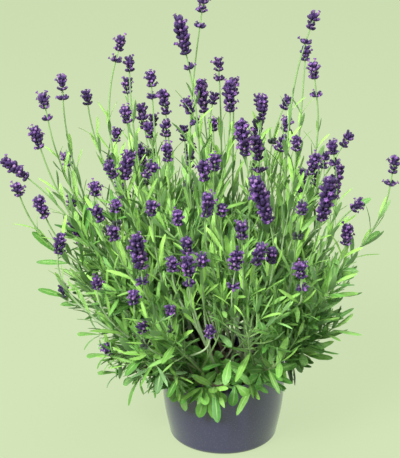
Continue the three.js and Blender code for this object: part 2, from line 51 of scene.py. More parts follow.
potForm = {
    "height": 84, "rimRadius": 65, "footRadius": 52, "footCorner": 6, "bow": 3,
    "wall": 3, "floor": 4, "soilTop": 75,
}
stemForm = {
    "rise": 4,  # above the compost, where stems start to lean
    "holeSpread": 50, "wood": 2.5, "fork": 1.6, "stalk": 1.35, "shoot": 1.5,
    "sides": 3, "mainSteps": 4, "sideSteps": 3, "firstFork": 0.15, "forkSpacing": 0.1, "forkAim": 0.55,
    "handles": (0.33, 0.3),  # how far a path keeps its first and last way, as shares of its reach
    "flare": (0.3, 0.3),  # least lean outwards at the root, and what a far tip adds
}
headForm = {
    "width": (10, 0.14),  # at no length, and per millimetre of length
    "fullness": (0.74, 0.26), "whorlSpacing": 8,
    "lowWhorl": {"rise": 5, "radius": 5.2}, "outwardLean": 1 / 500, "neck": 35,
    "whorlPlace": 0.55, "fullestShift": 0.1,  # a whorl's place in its step; towards the tip
}
bushForm = {
    "crown": (0, 0, 80), "branches": 16, "sideShoots": 2,
    "highestPolar": 10, "lowestPolar": 84, "lowBranch": 68,  # degrees off +Z
    "top": 168, "perDegree": 0.55, "level": 52, "bottom": 84, "fall": 117, "lopsided": 0.12,
    "seed": 100, "rise": {"high": 0.35, "low": 0.05}, "nextTry": 0.4,
    "swing": 0.2, "opening": (16, 24), "reach": (0.8, 0.97),  # of the side shoots; opening in degrees
}
bladeForm = {
    "stations": (0.3, 0.68), "arch": 0.15,  # shares along a leaf; rise of its middle for its droop
    "pairs": ({"share": 0.62, "spread": 0.6, "length": (36, 46)},
              {"share": 0.985, "spread": 0.42, "length": (30, 38)}),
    "width": {"high": (6, 7.5), "low": (7.5, 9)},
    "droop": {"high": (2, 8), "low": (6, 14)},
    "lowLength": 0.8,
}
roomForm = {
    "clearance": 0.9, "headClearance": 5, "swingTries": 90, "swingStep": 2.5,
    "shootTries": 6, "leafTries": 14, "leafTurn": 0.35, "shorterLeaf": 0.75,
    "tie": 1e-6, "rods": 4000, "potGap": 1, "potProbes": (0, 0.25, 0.5, 0.75, 1),
}

# one row a head: x, y, z of its tip, lean towards +X in degrees, length, drop to a low whorl
sprayHeads = [
    [(-21, 10, 470, 8, 18, 30), (-45, -30, 456, -11, 37, 50), (4, -20, 390, -1, 30, 0),
     (-39, -10, 370, -24, 15, 24)],
    [(-103, 20, 427, 15, 15, 24), (-98, 60, 397, -1, 15, 0), (-60, 20, 341, 0, 18, 0)],
    [(88, 10, 453, 17, 18, 30), (84, -30, 412, -8, 17, 32), (70, -30, 337, 1, 13, 0),
     (31, -10, 332, -8, 25, 35)],
    [(83, 50, 410, 3, 14, 0), (67, 60, 355, 25, 14, 0), (129, 30, 325, 30, 17, 0),
     (62, 20, 325, 25, 19, 0)],
    [(-73, -20, 400, -3, 14, 24), (-97, -40, 371, -5, 17, 0), (-57, -50, 336, -3, 18, 0),
     (-94, -50, 328, 9, 29, 0)],
    [(-6, 60, 395, -3, 12, 20), (-24, 30, 379, -6, 33, 0), (-10, 80, 353, 12, 10, 0),
     (38, 100, 345, -4, 10, 0)],
    [(-165, 30, 384, -2, 14, 22), (-180, -10, 376, -9, 15, 25), (-165, 40, 300, -16, 14, 0),
     (-157, 0, 265, -10, 10, 0)],
    [(-102, 90, 367, -1, 16, 0), (-144, 70, 358, -7, 14, 0), (-75, 90, 327, 1, 11, 0),
     (-113, 60, 320, 1, 13, 0)],
    [(15, -50, 359, -8, 36, 0), (-22, -100, 334, -3, 20, 0), (-10, -70, 332, 5, 18, 0),
     (-69, -80, 326, 35, 18, 0)],
    [(-186, -40, 350, -14, 22, 0), (-114, -60, 320, -27, 17, 0), (-127, -60, 300, 4, 13, 0),
     (-125, -100, 289, -28, 17, 0)],
    [(106, -20, 330, -9, 13, 22), (172, 0, 308, 7, 18, 28), (136, -30, 271, 49, 13, 0),
     (120, -60, 256, 3, 21, 0)],
    [(88, -50, 326, 17, 22, 0), (99, -90, 314, 9, 46, 0), (71, -110, 295, 5, 9, 0),
     (70, -120, 241, -4, 18, 30)],
    [(27, -110, 320, -17, 49, 0), (-17, -130, 311, 7, 23, 0), (-4, -120, 297, 6, 9, 0),
     (-46, -120, 291, -4, 14, 0)],
    [(-220, -20, 312, -50, 31, 0), (-203, -60, 298, -13, 11, 0), (-182, -70, 288, -19, 22, 0),
     (-164, -40, 185, -11, 13, 0)],
    [(-70, -120, 301, -1, 14, 0), (-104, -110, 298, 1, 10, 0), (-107, -130, 280, -9, 15, 0),
     (-83, -150, 278, -5, 37, 52)],
    [(13, -140, 288, -3, 19, 0), (31, -140, 265, 12, 21, 0), (9, -155, 265, 5, 20, 40),
     (43, -125, 257, 4, 17, 0)],
    [(-37, -140, 272, 0, 17, 0), (-36, -165, 263, -2, 20, 30), (-23, -150, 259, 0, 10, 0),
     (-51, -140, 252, 0, 13, 0)],
    [(-159, -90, 257, 10, 20, 0), (-124, -110, 220, 0, 10, 0), (-119, -70, 131, -18, 9, 0)],
    [(-87, -140, 218, 1, 12, 0), (-53, -140, 202, -4, 8, 0), (-80, -140, 188, -2, 11, 0),
     (-16, -140, 182, -2, 10, 0)],
]
farSprays = {  # the far side's sprays follow one rule, in degrees and millimetres
    "seed": 7, "bearings": (24, 58, 92, 125, 158),
    "polars": ((12, 20), (22, 30), (32, 39), (40, 48)),
    "spread": 15, "reach": (285, 325), "reachLoss": 1.6, "length": (12, 30), "lean": 1 / 9,
}


def seededDraws(seed):
    low32 = 0xFFFFFFFF
    state = seed

    def draw(low, high):
        nonlocal state
        state = (state + 0x6D2B79F5) & low32
        mixed = ((state ^ (state >> 15)) * (1 | state)) & low32
        mixed = ((mixed + (((mixed ^ (mixed >> 7)) * (61 | mixed)) & low32)) & low32) ^ mixed
        return low + (high - low) * ((mixed ^ (mixed >> 14)) / (low32 + 1))

    return draw


def spot3(x, y, z):
    return np.array([x, y, z], dtype=float)


def unit(vector):
    length = float(np.sqrt(vector.dot(vector)))
    return vector / length if length > 0 else vector


def mix(a, b, share):
    return a + (b - a) * share


def cross(a, b):
    return np.array([a[1] * b[2] - a[2] * b[1], a[2] * b[0] - a[0] * b[2], a[0] * b[1] - a[1] * b[0]])


def around(angle, out, z):  # a spot at that angle about the pot's axis
    return spot3(out * math.cos(angle), out * math.sin(angle), z)


def direction(polar, bearing):
    return spot3(math.sin(polar) * math.cos(bearing), math.sin(polar) * math.sin(bearing), math.cos(polar))


def turnAbout(vector, axis, angle):
    return (vector * math.cos(angle) + cross(axis, vector) * math.sin(angle)
            + axis * axis.dot(vector) * (1 - math.cos(angle)))


def across(axis, angle):  # a direction at right angles to the axis, turned from the level one
    level = cross(upward, axis)
    if level.dot(level) < 1e-6:
        level = spot3(1, 0, 0)
    return turnAbout(unit(level), axis, angle)


crown = spot3(*bushForm["crown"])


class Room:
    # round-ended rods already placed, each with its owner

    def __init__(self):
        self.count = 0
        most = roomForm["rods"]
        self.starts, self.ends = np.zeros((most, 3)), np.zeros((most, 3))
        self.radii, self.owners = np.zeros(most), np.zeros(most, dtype=int)

    def settle(self, rods, owner):
        for start, end, radius in rods:
            self.starts[self.count], self.ends[self.count] = start, end
            self.radii[self.count], self.owners[self.count] = radius, owner
            self.count += 1

    def smallestGap(self, rods, owner):
        keep = self.owners[:self.count] != owner
        starts, ends = self.starts[:self.count][keep], self.ends[:self.count][keep]
        radii = self.radii[:self.count][keep]
        gap = math.inf
        for start, end, radius in rods:
            reach = (radius + radii + roomForm["clearance"])[:, None]
            far = ((np.minimum(start, end) - reach > np.maximum(starts, ends))
                   | (np.minimum(starts, ends) - reach > np.maximum(start, end))).any(axis=1)
            if far.all():
                continue
            a, b, r = starts[~far], ends[~far], radii[~far]
            u, v, w = b - a, end - start, start - a
            vv, uu = v.dot(v), (u * u).sum(axis=1)
            uv, uw, vw = u @ v, (u * w).sum(axis=1), w @ v
            slant = vv * uu - uv * uv
            safe = np.where(slant > 1e-9, slant, 1)
            s = np.where(slant > 1e-9, np.clip((uv * uw - uu * vw) / safe, 0, 1), 0)
            t = np.clip((uv * s + uw) / uu, 0, 1)
            s = np.clip((uv * t - vw) / vv, 0, 1)
            gaps = np.sqrt(((w + v * s[:, None] - u * t[:, None]) ** 2).sum(axis=1)) - radius - r
            gap = min(gap, float(gaps.min()))
        return gap


room = Room()


def clearOfPot(rods):
    gap = roomForm["potGap"]
    for start, end, radius in rods:
        for share in roomForm["potProbes"]:
            at = mix(start, end, share)
            out = math.hypot(at[0], at[1])
            if out > potForm["rimRadius"] + radius + gap:
                continue
            inside = out < potForm["rimRadius"] - potForm["wall"] - gap - radius
            if at[2] <= (potForm["soilTop"] if inside else potForm["height"]) + gap + radius:
                return False
    return True


def headShape(x, y, z, lean, length, whorlDrop):
    tip = spot3(x, y, z)
    slope = math.radians(lean)
    axis = unit(spot3(math.sin(slope), y * headForm["outwardLean"], math.cos(slope)))
    width = headForm["width"][0] + headForm["width"][1] * length
    whorls = max(2, math.floor(length / headForm["whorlSpacing"] + 0.5))
    low = headForm["lowWhorl"]
    total = whorlDrop + low["rise"] if whorlDrop > 0 else length
    rings = [(low["rise"], low["radius"])] if whorlDrop > 0 else []
    for i in reversed(range(whorls)):
        depth = (i + headForm["whorlPlace"]) / whorls
        fullness = headForm["fullness"][0] + headForm["fullness"][1] * math.sin(
            math.pi * min(1, depth + headForm["fullestShift"]))
        rings.append((total - depth * length, 0.5 * width * fullness))
    foot = tip - axis * total
    body = [(foot, tip, width / 2), (foot - axis * headForm["neck"], foot, stemForm["stalk"])]
    return {"tip": tip, "axis": axis, "foot": foot, "rings": rings, "body": body, "low": whorlDrop > 0}


def farHead(draw, polars, bearing):
    while True:
        polar = draw(*polars)
        turn = math.radians(bearing + draw(-farSprays["spread"], farSprays["spread"]))
        reach = draw(*farSprays["reach"]) - farSprays["reachLoss"] * polar
        tip = direction(math.radians(polar), turn) * reach + crown
        head = headShape(*tip, tip[0] * farSprays["lean"], draw(*farSprays["length"]), 0)
        if room.smallestGap(head["body"], -1) >= roomForm["headClearance"]:
            return head


def bezierPoints(control, count):
    a, b, c, d = control
    return [a * (1 - t) ** 3 + b * 3 * (1 - t) ** 2 * t + c * 3 * (1 - t) * t * t + d * t ** 3
            for t in (i / count for i in range(count + 1))]


def rodsAlong(path, radiusAt):
    return [(path[i], path[i + 1], radiusAt(i)) for i in range(len(path) - 1)]


def taper(startRadius, endRadius, steps):
    return lambda i: startRadius + (endRadius - startRadius) * i / steps


nodeCorners = {}  # of each plant node of the frame, by owner


def nodeName(owner):  # the sprays come first, then the branches
    sprays = len(headSets)
    return f"flowering_spray_{owner + 1}" if owner < sprays else f"leafy_branch_{owner - sprays + 1}"


def awayFromNode(path, owner):  # how far a path's inner points stand from the middle of its node's stem
    if owner not in nodeCorners:
        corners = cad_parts[nodeName(owner)].data.vertices
        flat = np.empty(3 * len(corners))
        corners.foreach_get("co", flat)
        nodeCorners[owner] = np.unique((flat.reshape(-1, 3) / millimetre).round(2), axis=0)
    away = 0.0
    for spot in path[1:-1]:
        order = np.argsort(np.linalg.norm(nodeCorners[owner] - spot, axis=1))
        ring = nodeCorners[owner][order[:stemForm["sides"]]]  # the stem's corners around that point
        away += float(np.linalg.norm(ring.mean(axis=0) - spot))
    return away


# stem path with the smallest swing, in a widening spiral, that clears what is placed;
# where none does, several come equally near, and the node shows which of them it follows
def clearPath(start, startWay, end, endWay, steps, radiusAt, owner):
    chord, reach = unit(end - start), float(np.linalg.norm(end - start))
    early, late = stemForm["handles"]
    options = []
    for k in range(roomForm["swingTries"]):
        swing = across(chord, k * goldenAngle) * (roomForm["swingStep"] * math.sqrt(k))
        control = (start, start + startWay * early * reach + swing,
                   end - endWay * late * reach + swing, end)
        path = bezierPoints(control, steps)
        rods = rodsAlong(path, radiusAt)
        gap = room.smallestGap(rods, owner) if clearOfPot(rods) else -math.inf
        options.append({"path": path, "rods": rods, "gap": gap, "control": control})
        if gap >= roomForm["clearance"]:
            return options[-1]
    most = max(option["gap"] for option in options)
    ties = [option for option in options if option["gap"] >= most - roomForm["tie"]]
    return min(ties, key=lambda option: awayFromNode(option["path"], owner))


def spotOn(path, share):
    step = min(math.floor(share * (len(path) - 1)), len(path) - 2)
    at = mix(path[step], path[step + 1], share * (len(path) - 1) - step)
    return at, unit(path[step + 1] - path[step])


def rootedStart(base, end):
    outward = spot3(end[0] - base[0], end[1] - base[1], 0)
    slant = min(1, float(np.linalg.norm(outward)) / max(end[2] - base[2], 1))
    least, more = stemForm["flare"]
    return unit(mix(upward, unit(outward), least + more * slant))


# each stem gets a hole of a sunflower pattern, by how far out its tip stands
def assignHoles(leads):
    count = len(leads)
    lengths = [float(np.linalg.norm(lead)) for lead in leads]

    def ringRadius(k):
        return stemForm["holeSpread"] * math.sqrt((k + 0.5) / count)

    holes = [around(k * goldenAngle, ringRadius(k), 0) for k in range(count)]
    order = sorted(range(count), key=lambda i: (lengths[i], i))
    wanted = [unit(lead) * ringRadius(order.index(i)) for i, lead in enumerate(leads)]

    def miss(i, j):
        away = wanted[i] - holes[j]
        return float(away.dot(away))

    swapped = True
    while swapped:
        swapped = False
        for i in range(count):
            for j in range(i + 1, count):
                if miss(i, i) + miss(j, j) > miss(i, j) + miss(j, i) + roomForm["tie"]:
                    holes[i], holes[j] = holes[j], holes[i]
                    swapped = True
    top = potForm["soilTop"] + stemForm["rise"]
    return [spot3(hole[0], hole[1], top) for hole in holes]


def envelopeReach(polar, bearing):  # a dome that draws in below
    degrees = math.degrees(polar)
    below = min(max((degrees - bushForm["level"]) / (bushForm["bottom"] - bushForm["level"]), 0), 1)
    reach = (bushForm["top"] + bushForm["perDegree"] * min(degrees, bushForm["level"])
             - bushForm["fall"] * below)
    return reach * (1 - bushForm["lopsided"] * math.cos(bearing))


def branchTip(polar, bearing):
    return direction(polar, bearing) * envelopeReach(polar, bearing) + crown


def growStalks():
    mains = []
    for owner, spray in enumerate(headSets):
        first = spray[0]
        radiusAt = taper(stemForm["wood"], stemForm["stalk"], stemForm["mainSteps"] + 1)
        best = clearPath(feet[owner], rootedStart(feet[owner], first["foot"]), first["foot"],
                         first["axis"], stemForm["mainSteps"], radiusAt, owner)
        room.settle(best["rods"], owner)
        mains.append({"head": first, "spray": owner, "main": True, **best})
    sides = []
    for owner, spray in enumerate(headSets):
        for k, head in enumerate(spray[1:]):
            at, axis = spotOn(mains[owner]["path"], stemForm["firstFork"] + stemForm["forkSpacing"] * k)
            leave = unit(mix(axis, unit(head["foot"] - at), stemForm["forkAim"]))
            radiusAt = taper(stemForm["fork"], stemForm["stalk"], stemForm["sideSteps"])
            best = clearPath(at, leave, head["foot"], head["axis"], stemForm["sideSteps"], radiusAt, owner)
            room.settle(best["rods"], owner)
            sides.append({"head": head, "spray": owner, "main": False, **best})
    return mains + sides


def growSideShoot(main, k, branch, upturned, draw, owner):
    centre = direction(branch["polar"], branch["bearing"])
    radiusAt = taper(stemForm["fork"], stemForm["shoot"], stemForm["sideSteps"])
    for tries in range(roomForm["shootTries"]):
        at, axis = spotOn(main, stemForm["firstFork"] + stemForm["forkSpacing"] * (
            k + bushForm["nextTry"] * tries))
        swing = k + draw(-bushForm["swing"], bushForm["swing"])
        swing = branch["bearing"] + 2 * math.pi * swing / bushForm["sideShoots"]
        opening = math.tan(math.radians(draw(*bushForm["opening"])))
        heading = unit(centre + across(centre, swing) * opening)
        sidePolar = min(math.acos(heading[2]), math.radians(bushForm["lowestPolar"]))
        tip = branchTip(sidePolar, math.atan2(heading[1], heading[0]))
        tip = (tip - crown) * draw(*bushForm["reach"]) + crown
        leave = unit(mix(axis, unit(tip - at), stemForm["forkAim"]))
        best = clearPath(at, leave, tip, upturned(tip), stemForm["sideSteps"], radiusAt, owner)
        if best["gap"] >= roomForm["clearance"]:
            room.settle(best["rods"], owner)
            return best
    return None


def growBranch(branch, index, foot, owner):
    draw = seededDraws(bushForm["seed"] + index)
    low = branch["polar"] > math.radians(bushForm["lowBranch"])
    tip = branchTip(branch["polar"], branch["bearing"])
    rise = bushForm["rise"]["low" if low else "high"]

    def upturned(target):
        return unit(mix(unit(target - crown), upward, rise))

    radiusAt = taper(stemForm["wood"], stemForm["shoot"], stemForm["mainSteps"] + 1)
    best = clearPath(foot, rootedStart(foot, tip), tip, upturned(tip), stemForm["mainSteps"], radiusAt, owner)
    room.settle(best["rods"], owner)
    shoots = [{"main": True, **best}]
    for k in range(bushForm["sideShoots"]):
        shoot = growSideShoot(best["path"], k, branch, upturned, draw, owner)
        if shoot:
            shoots.append({"main": False, **shoot})
    return {"owner": owner, "low": low, "shoots": shoots, "draw": draw}


def leafSpine(base, heading, length, droop):
    tip = base + heading * length - upward * droop
    middle = base + heading * (0.5 * length) + upward * (bladeForm["arch"] * droop)
    return base, middle, tip


def spineSpot(spine, t):
    a, b, c = spine
    return a * (1 - t) ** 2 + b * 2 * (1 - t) * t + c * t * t


def placeLeaf(path, share, turn, spread, length, width, droop, owner):
    at, axis = spotOn(path, share)
    tries, stations = roomForm["leafTries"], bladeForm["stations"]
    for k in range(tries):
        angle = turn + roomForm["leafTurn"] * math.ceil(k / 2) * (1 if k % 2 == 0 else -1)
        size = length if k < tries / 2 else roomForm["shorterLeaf"] * length
        heading = unit(mix(axis, across(axis, angle), spread))
        spine = leafSpine(at, heading, size, droop)
        probes = [spineSpot(spine, t) for t in (0.5 * stations[0], *stations, 1)]
        rods = rodsAlong(probes, lambda i: 0.5 * width)
        if clearOfPot(rods) and room.smallestGap(rods, owner) >= roomForm["clearance"]:
            room.settle(rods, owner)
            return {"spine": spine, "side": unit(cross(heading, upward)), "width": width}
    return None


# leaves stand in pairs, each pair a quarter turn from the last
def growLeaves(grown):
    draw = grown["draw"]
    kind = "low" if grown["low"] else "high"
    leaves = []
    for shoot in grown["shoots"]:
        turn = draw(0, math.pi)
        for pair, pairForm in enumerate(bladeForm["pairs"]):
            size = draw(*pairForm["length"]) * (bladeForm["lowLength"] if grown["low"] else 1)
            width = draw(*bladeForm["width"][kind])
            for opposite in (0, math.pi):
                droop = draw(*bladeForm["droop"][kind])
                leaf = placeLeaf(shoot["path"], pairForm["share"], turn + opposite + pair * math.pi / 2,
                                 pairForm["spread"], size, width, droop, grown["owner"])
                if leaf:
                    leaves.append({"low": grown["low"], **leaf})
    return leaves


headSets = [[headShape(*row) for row in rows] for rows in sprayHeads]
for owner, spray in enumerate(headSets):
    for head in spray:
        room.settle(head["body"], owner)
farDraw = seededDraws(farSprays["seed"])
for i, bearing in enumerate(farSprays["bearings"]):
    spray = []
    for polars in farSprays["polars"]:
        head = farHead(farDraw, polars, bearing)
        room.settle(head["body"], len(sprayHeads) + i)
        spray.append(head)
    headSets.append(spray)

branches = []
highest, lowest = (math.cos(math.radians(bushForm[key])) for key in ("highestPolar", "lowestPolar"))
for i in range(bushForm["branches"]):
    share = (i + 0.5) / bushForm["branches"]
    branches.append({"polar": math.acos(highest * (1 - share) + lowest * share), "bearing": i * goldenAngle})

reachSpots = [sum((head["tip"] * (1 / len(spray)) for head in spray), spot3(0, 0, 0)) for spray in headSets]
reachSpots += [branchTip(branch["polar"], branch["bearing"]) for branch in branches]
middleSpot = sum((spot * (1 / len(reachSpots)) for spot in reachSpots), spot3(0, 0, 0))
feet = assignHoles([(spot - middleSpot) * spot3(1, 1, 0) for spot in reachSpots])

stalks = growStalks()
bush = [growBranch(branch, i, feet[len(headSets) + i], len(headSets) + i)
        for i, branch in enumerate(branches)]
mainLeaves = [leaf for grown in bush for leaf in growLeaves(grown)]
print("layout:", len(stalks), "flower stalks,", sum(len(grown["shoots"]) for grown in bush), "shoots,",
      len(mainLeaves), "main leaves")

# Node trees and materials.


class NodePlan:
    # short words for building one node tree

    def __init__(self, tree):
        self.tree = tree

    def add(self, kind, inputs=None, **settings):
        node = self.tree.nodes.new(kind)
        for name, value in settings.items():
            setattr(node, name, value)
        for key, value in (inputs or {}).items():
            if isinstance(value, bpy.types.NodeSocket):
                self.tree.links.new(value, node.inputs[key])
            else:
                node.inputs[key].default_value = value
        return node

    def result(self, kind, inputs=None, **settings):
        return self.add(kind, inputs, **settings).outputs[0]

    def maths(self, operation, a, b=0.0):
        return self.result("ShaderNodeMath", {0: a, 1: b}, operation=operation)

    def plus(self, a, b):
        return self.maths("ADD", a, b)

    def times(self, a, b):
        return self.maths("MULTIPLY", a, b)

    def above(self, a, b):
        return self.maths("GREATER_THAN", a, b)

    def vectors(self, operation, a, b=(0, 0, 0)):
        node = self.add("ShaderNodeVectorMath", {0: a, 1: b}, operation=operation)
        return node.outputs["Value" if operation == "LENGTH" else "Vector"]

    def scaled(self, vector, factor):
        return self.result("ShaderNodeVectorMath", {0: vector, "Scale": factor}, operation="SCALE")

    def combined(self, x, y, z):
        return self.result("ShaderNodeCombineXYZ", {0: x, 1: y, 2: z})

    def split(self, vector):
        return self.add("ShaderNodeSeparateXYZ", {0: vector}).outputs

    def turned(self, vector, axis, angle):
        return self.result("ShaderNodeVectorRotate", {"Vector": vector, "Axis": axis, "Angle": angle},
                           rotation_type="AXIS_ANGLE")

    def leaned(self, axis, side, angle):  # the axis, tipped over to one side
        return self.vectors("ADD", self.scaled(axis, self.maths("COSINE", angle)),
                            self.scaled(side, self.maths("SINE", angle)))

    def blended(self, factor, a, b, way="MIX"):
        return self.add("ShaderNodeMix", {0: factor, 6: a, 7: b},
                        data_type="RGBA", blend_type=way).outputs[2]

    def spanned(self, value, fromLow, fromHigh, toLow=0.0, toHigh=1.0):
        return self.result("ShaderNodeMapRange", {0: value, 1: fromLow, 2: fromHigh, 3: toLow, 4: toHigh})

    def chance(self, low, high, offset=0):  # a draw for each element, from the tree's seed
        seed = self.plus(self.given["Seed"], offset)
        return self.add("FunctionNodeRandomValue", {2: low, 3: high, 8: seed}, data_type="FLOAT").outputs[1]

    def varied(self, value, variation, offset):
        return self.times(self.plus(self.times(variation, self.chance(-1.0, 1.0, offset)), 1.0), value)

    def named(self, name, dataType="FLOAT"):
        return self.result("GeometryNodeInputNamedAttribute", {"Name": name}, data_type=dataType)

    def uv(self):
        return self.split(self.result("ShaderNodeUVMap", uv_map="UVMap"))

    def attribute(self, name):
        return self.add("ShaderNodeAttribute", attribute_name=name).outputs["Fac"]

    def noise(self, pattern, scale, detail, **more):
        return self.result("ShaderNodeTexNoise", {
            "Vector": pattern, "Scale": scale, "Detail": detail, **more})

    def bumped(self, height, strength, distance):
        return self.result("ShaderNodeBump", {"Height": height, "Strength": strength, "Distance": distance})

    def closeGroup(self, *outputs):
        self.add("NodeGroupOutput", dict(enumerate(outputs)))
        return self.tree

    def closeGrowth(self, geometry):
        solid = self.result("GeometryNodeRealizeInstances", {0: geometry})
        return self.closeGroup(self.result("GeometryNodeSetMaterial", {
            "Geometry": solid, "Material": self.given["Finish"]}))


def newTree(name, kind, inputs, outputs):
    tree = bpy.data.node_groups.new(name, kind)
    for label, socketType, *default in inputs:
        socket = tree.interface.new_socket(label, in_out="INPUT", socket_type="NodeSocket" + socketType)
        if default:
            socket.default_value = default[0]
    for label, socketType in outputs:
        tree.interface.new_socket(label, in_out="OUTPUT", socket_type="NodeSocket" + socketType)
    plan = NodePlan(tree)
    plan.given = plan.add("NodeGroupInput").outputs
    return plan, plan.given


def addToScene(piece):
    bpy.context.scene.collection.objects.link(piece)
    return piece


# the tree's result as a plain mesh, with its modifier gone
def growMesh(name, source, tree, values):
    piece = addToScene(bpy.data.objects.new(name, source))
    modifier = piece.modifiers.new("growth", "NODES")
    modifier.node_group = tree
    for item in tree.interface.items_tree:
        if item.item_type == "SOCKET" and item.in_out == "INPUT" and item.name in values:
            value = values[item.name]
            modifier[item.identifier] = float(value) if item.socket_type == "NodeSocketFloat" else value
    depsgraph = bpy.context.evaluated_depsgraph_get()
    grownMesh = bpy.data.meshes.new_from_object(
        piece.evaluated_get(depsgraph), preserve_all_data_layers=True, depsgraph=depsgraph)
    piece.modifiers.clear()
    piece.data = grownMesh
    grownMesh.name = name
    return piece


almostOne = 0.999  # keeps a drawn share below one


# one of a collection's kinds on each point that is kept, rolled and tinted by chance
def placeKinds(plan, points, keep, kinds, count, heading, facing, roll, scale, offset):
    rotation = plan.result("FunctionNodeAxesToRotation", {0: heading, 1: facing},
                           primary_axis="X", secondary_axis="Z")
    rotation = plan.result("FunctionNodeRotateRotation", {
        0: rotation, 1: plan.result("FunctionNodeEulerToRotation", {0: roll})}, rotation_space="LOCAL")
    picked = plan.maths("FLOOR", plan.times(count, plan.chance(0.0, almostOne, offset)))
    placed = plan.result("GeometryNodeInstanceOnPoints", {
        "Points": points, "Selection": keep, "Pick Instance": True, "Instance Index": picked,
        "Instance": plan.result("GeometryNodeCollectionInfo", {0: kinds, 1: True, 2: True}),
        "Rotation": rotation, "Scale": scale})
    return plan.result("GeometryNodeStoreNamedAttribute", {
        "Geometry": placed, "Name": "tint", "Value": plan.chance(0.0, 1.0, offset + 1)},
        data_type="FLOAT", domain="INSTANCE")


pairChance = {"turn": 0.35, "width": (0.8, 1.2), "roll": 0.5, "yaw": 0.15, "smallest": 0.05,
              "probes": (0.4, 0.75, 1.0), "overRim": 0.001, "besideRim": 0.002, "overFloor": 0.012}


# leaves in pairs along every stem, each pair a quarter turn from the last
def leafPairTree():
    plan, given = newTree("leafPairs", "GeometryNodeTree", [
        ("Stems", "Geometry"), ("Blades", "Collection"), ("Blade Kinds", "Int", 5),
        ("Pair Spacing", "Float", 0.009), ("Leaves At Node", "Int", 2),
        ("Spread", "Float", 0.8), ("Spread Variation", "Float", 0.2), ("Lift", "Float", 0.1),
        ("Sky Turn", "Float", 0.3), ("Size", "Float", 1.0), ("Size Variation", "Float", 0.2),
        ("Width", "Float", 1.0), ("Blade Length", "Float", 0.03), ("Rim Radius", "Float", 0.065),
        ("Rim Height", "Float", 0.084), ("Seed", "Int", 1), ("Finish", "Material"),
    ], [("Leaves", "Geometry")])
    stems = plan.result("GeometryNodeMeshToCurve", {0: given["Stems"]})
    nodes = plan.add("GeometryNodeCurveToPoints", {"Curve": stems, "Length": given["Pair Spacing"]},
                     mode="LENGTH").outputs
    captured = plan.add("GeometryNodeCaptureAttribute", {0: nodes["Points"]}, domain="POINT")
    captured.capture_items.new("INT", "Pair")
    plan.tree.links.new(plan.result("GeometryNodeInputIndex"), captured.inputs[1])
    copies = plan.add("GeometryNodeDuplicateElements", {
        "Geometry": captured.outputs[0], "Amount": given["Leaves At Node"]}, domain="POINT").outputs
    step = plan.maths("DIVIDE", 2 * math.pi, given["Leaves At Node"])
    turn = plan.times(captured.outputs[1], math.pi / 2)
    turn = plan.plus(turn, plan.times(copies["Duplicate Index"], step))
    turn = plan.plus(turn, plan.chance(-pairChance["turn"], pairChance["turn"]))
    side = plan.turned(nodes["Normal"], nodes["Tangent"], turn)
    wide = plan.times(given["Spread Variation"], plan.chance(-1.0, 1.0, 1))
    wide = plan.times(plan.plus(given["Spread"], wide), plan.named("openness"))
    heading = plan.leaned(nodes["Tangent"], side, wide)
    heading = plan.vectors("NORMALIZE", plan.vectors("ADD", heading, plan.combined(0.0, 0.0, given["Lift"])))
    facing = plan.vectors("ADD", nodes["Tangent"], plan.combined(0.0, 0.0, given["Sky Turn"]))
    size = plan.times(plan.varied(given["Size"], given["Size Variation"], 2), plan.named("leafSize"))
    width = plan.times(given["Width"], plan.chance(*pairChance["width"], 3))
    reach = plan.times(size, given["Blade Length"])
    keep = plan.result("FunctionNodeCompare", {0: plan.named("leafSize"), 1: pairChance["smallest"]},
                       data_type="FLOAT", operation="GREATER_THAN")
    base = plan.result("GeometryNodeInputPosition")
    for share in pairChance["probes"]:  # no leaf passes through the pot or below the floor
        spot = plan.vectors("ADD", base, plan.scaled(heading, plan.times(reach, share)))
        height = plan.split(spot)[2]
        out = plan.vectors("LENGTH", plan.vectors("MULTIPLY", spot, (1, 1, 0)))
        over = plan.above(height, plan.plus(given["Rim Height"], pairChance["overRim"]))
        beside = plan.above(out, plan.plus(given["Rim Radius"], pairChance["besideRim"]))
        onFloor = plan.above(height, pairChance["overFloor"])
        keep = plan.times(keep, plan.times(plan.maths("MAXIMUM", over, beside), onFloor))
    roll = plan.combined(plan.chance(-pairChance["roll"], pairChance["roll"], 4),
                         plan.chance(-pairChance["yaw"], pairChance["yaw"], 5), 0.0)
    return plan.closeGrowth(placeKinds(
        plan, copies["Geometry"], keep, given["Blades"], given["Blade Kinds"], heading, facing, roll,
        plan.combined(size, plan.times(size, width), size), 6))


# a rounded square skin over every stem, as thick as its girth says
def stemSkinTree():
    plan, given = newTree("stemSkin", "GeometryNodeTree", [
        ("Stems", "Geometry"), ("Girth", "Float", 1.0), ("Side", "Float", 1.8), ("Corner", "Float", 0.6),
        ("Finish", "Material"),
    ], [("Skin", "Geometry")])
    stems = plan.result("GeometryNodeMeshToCurve", {0: given["Stems"]})
    square = plan.result("GeometryNodeCurvePrimitiveQuadrilateral", {0: given["Side"], 1: given["Side"]})
    profile = plan.result("GeometryNodeFilletCurve", {"Curve": square, "Count": 1, "Radius": given["Corner"]},
                          mode="POLY")
    skin = plan.result("GeometryNodeCurveToMesh", {
        "Curve": stems, "Profile Curve": profile, "Fill Caps": True,
        "Scale": plan.times(plan.named("girth"), given["Girth"])})
    return plan.closeGrowth(plan.result("GeometryNodeSetShadeSmooth", {0: skin, 2: True}))


whorlChance = {"turn": 0.18, "roll": 0.9}


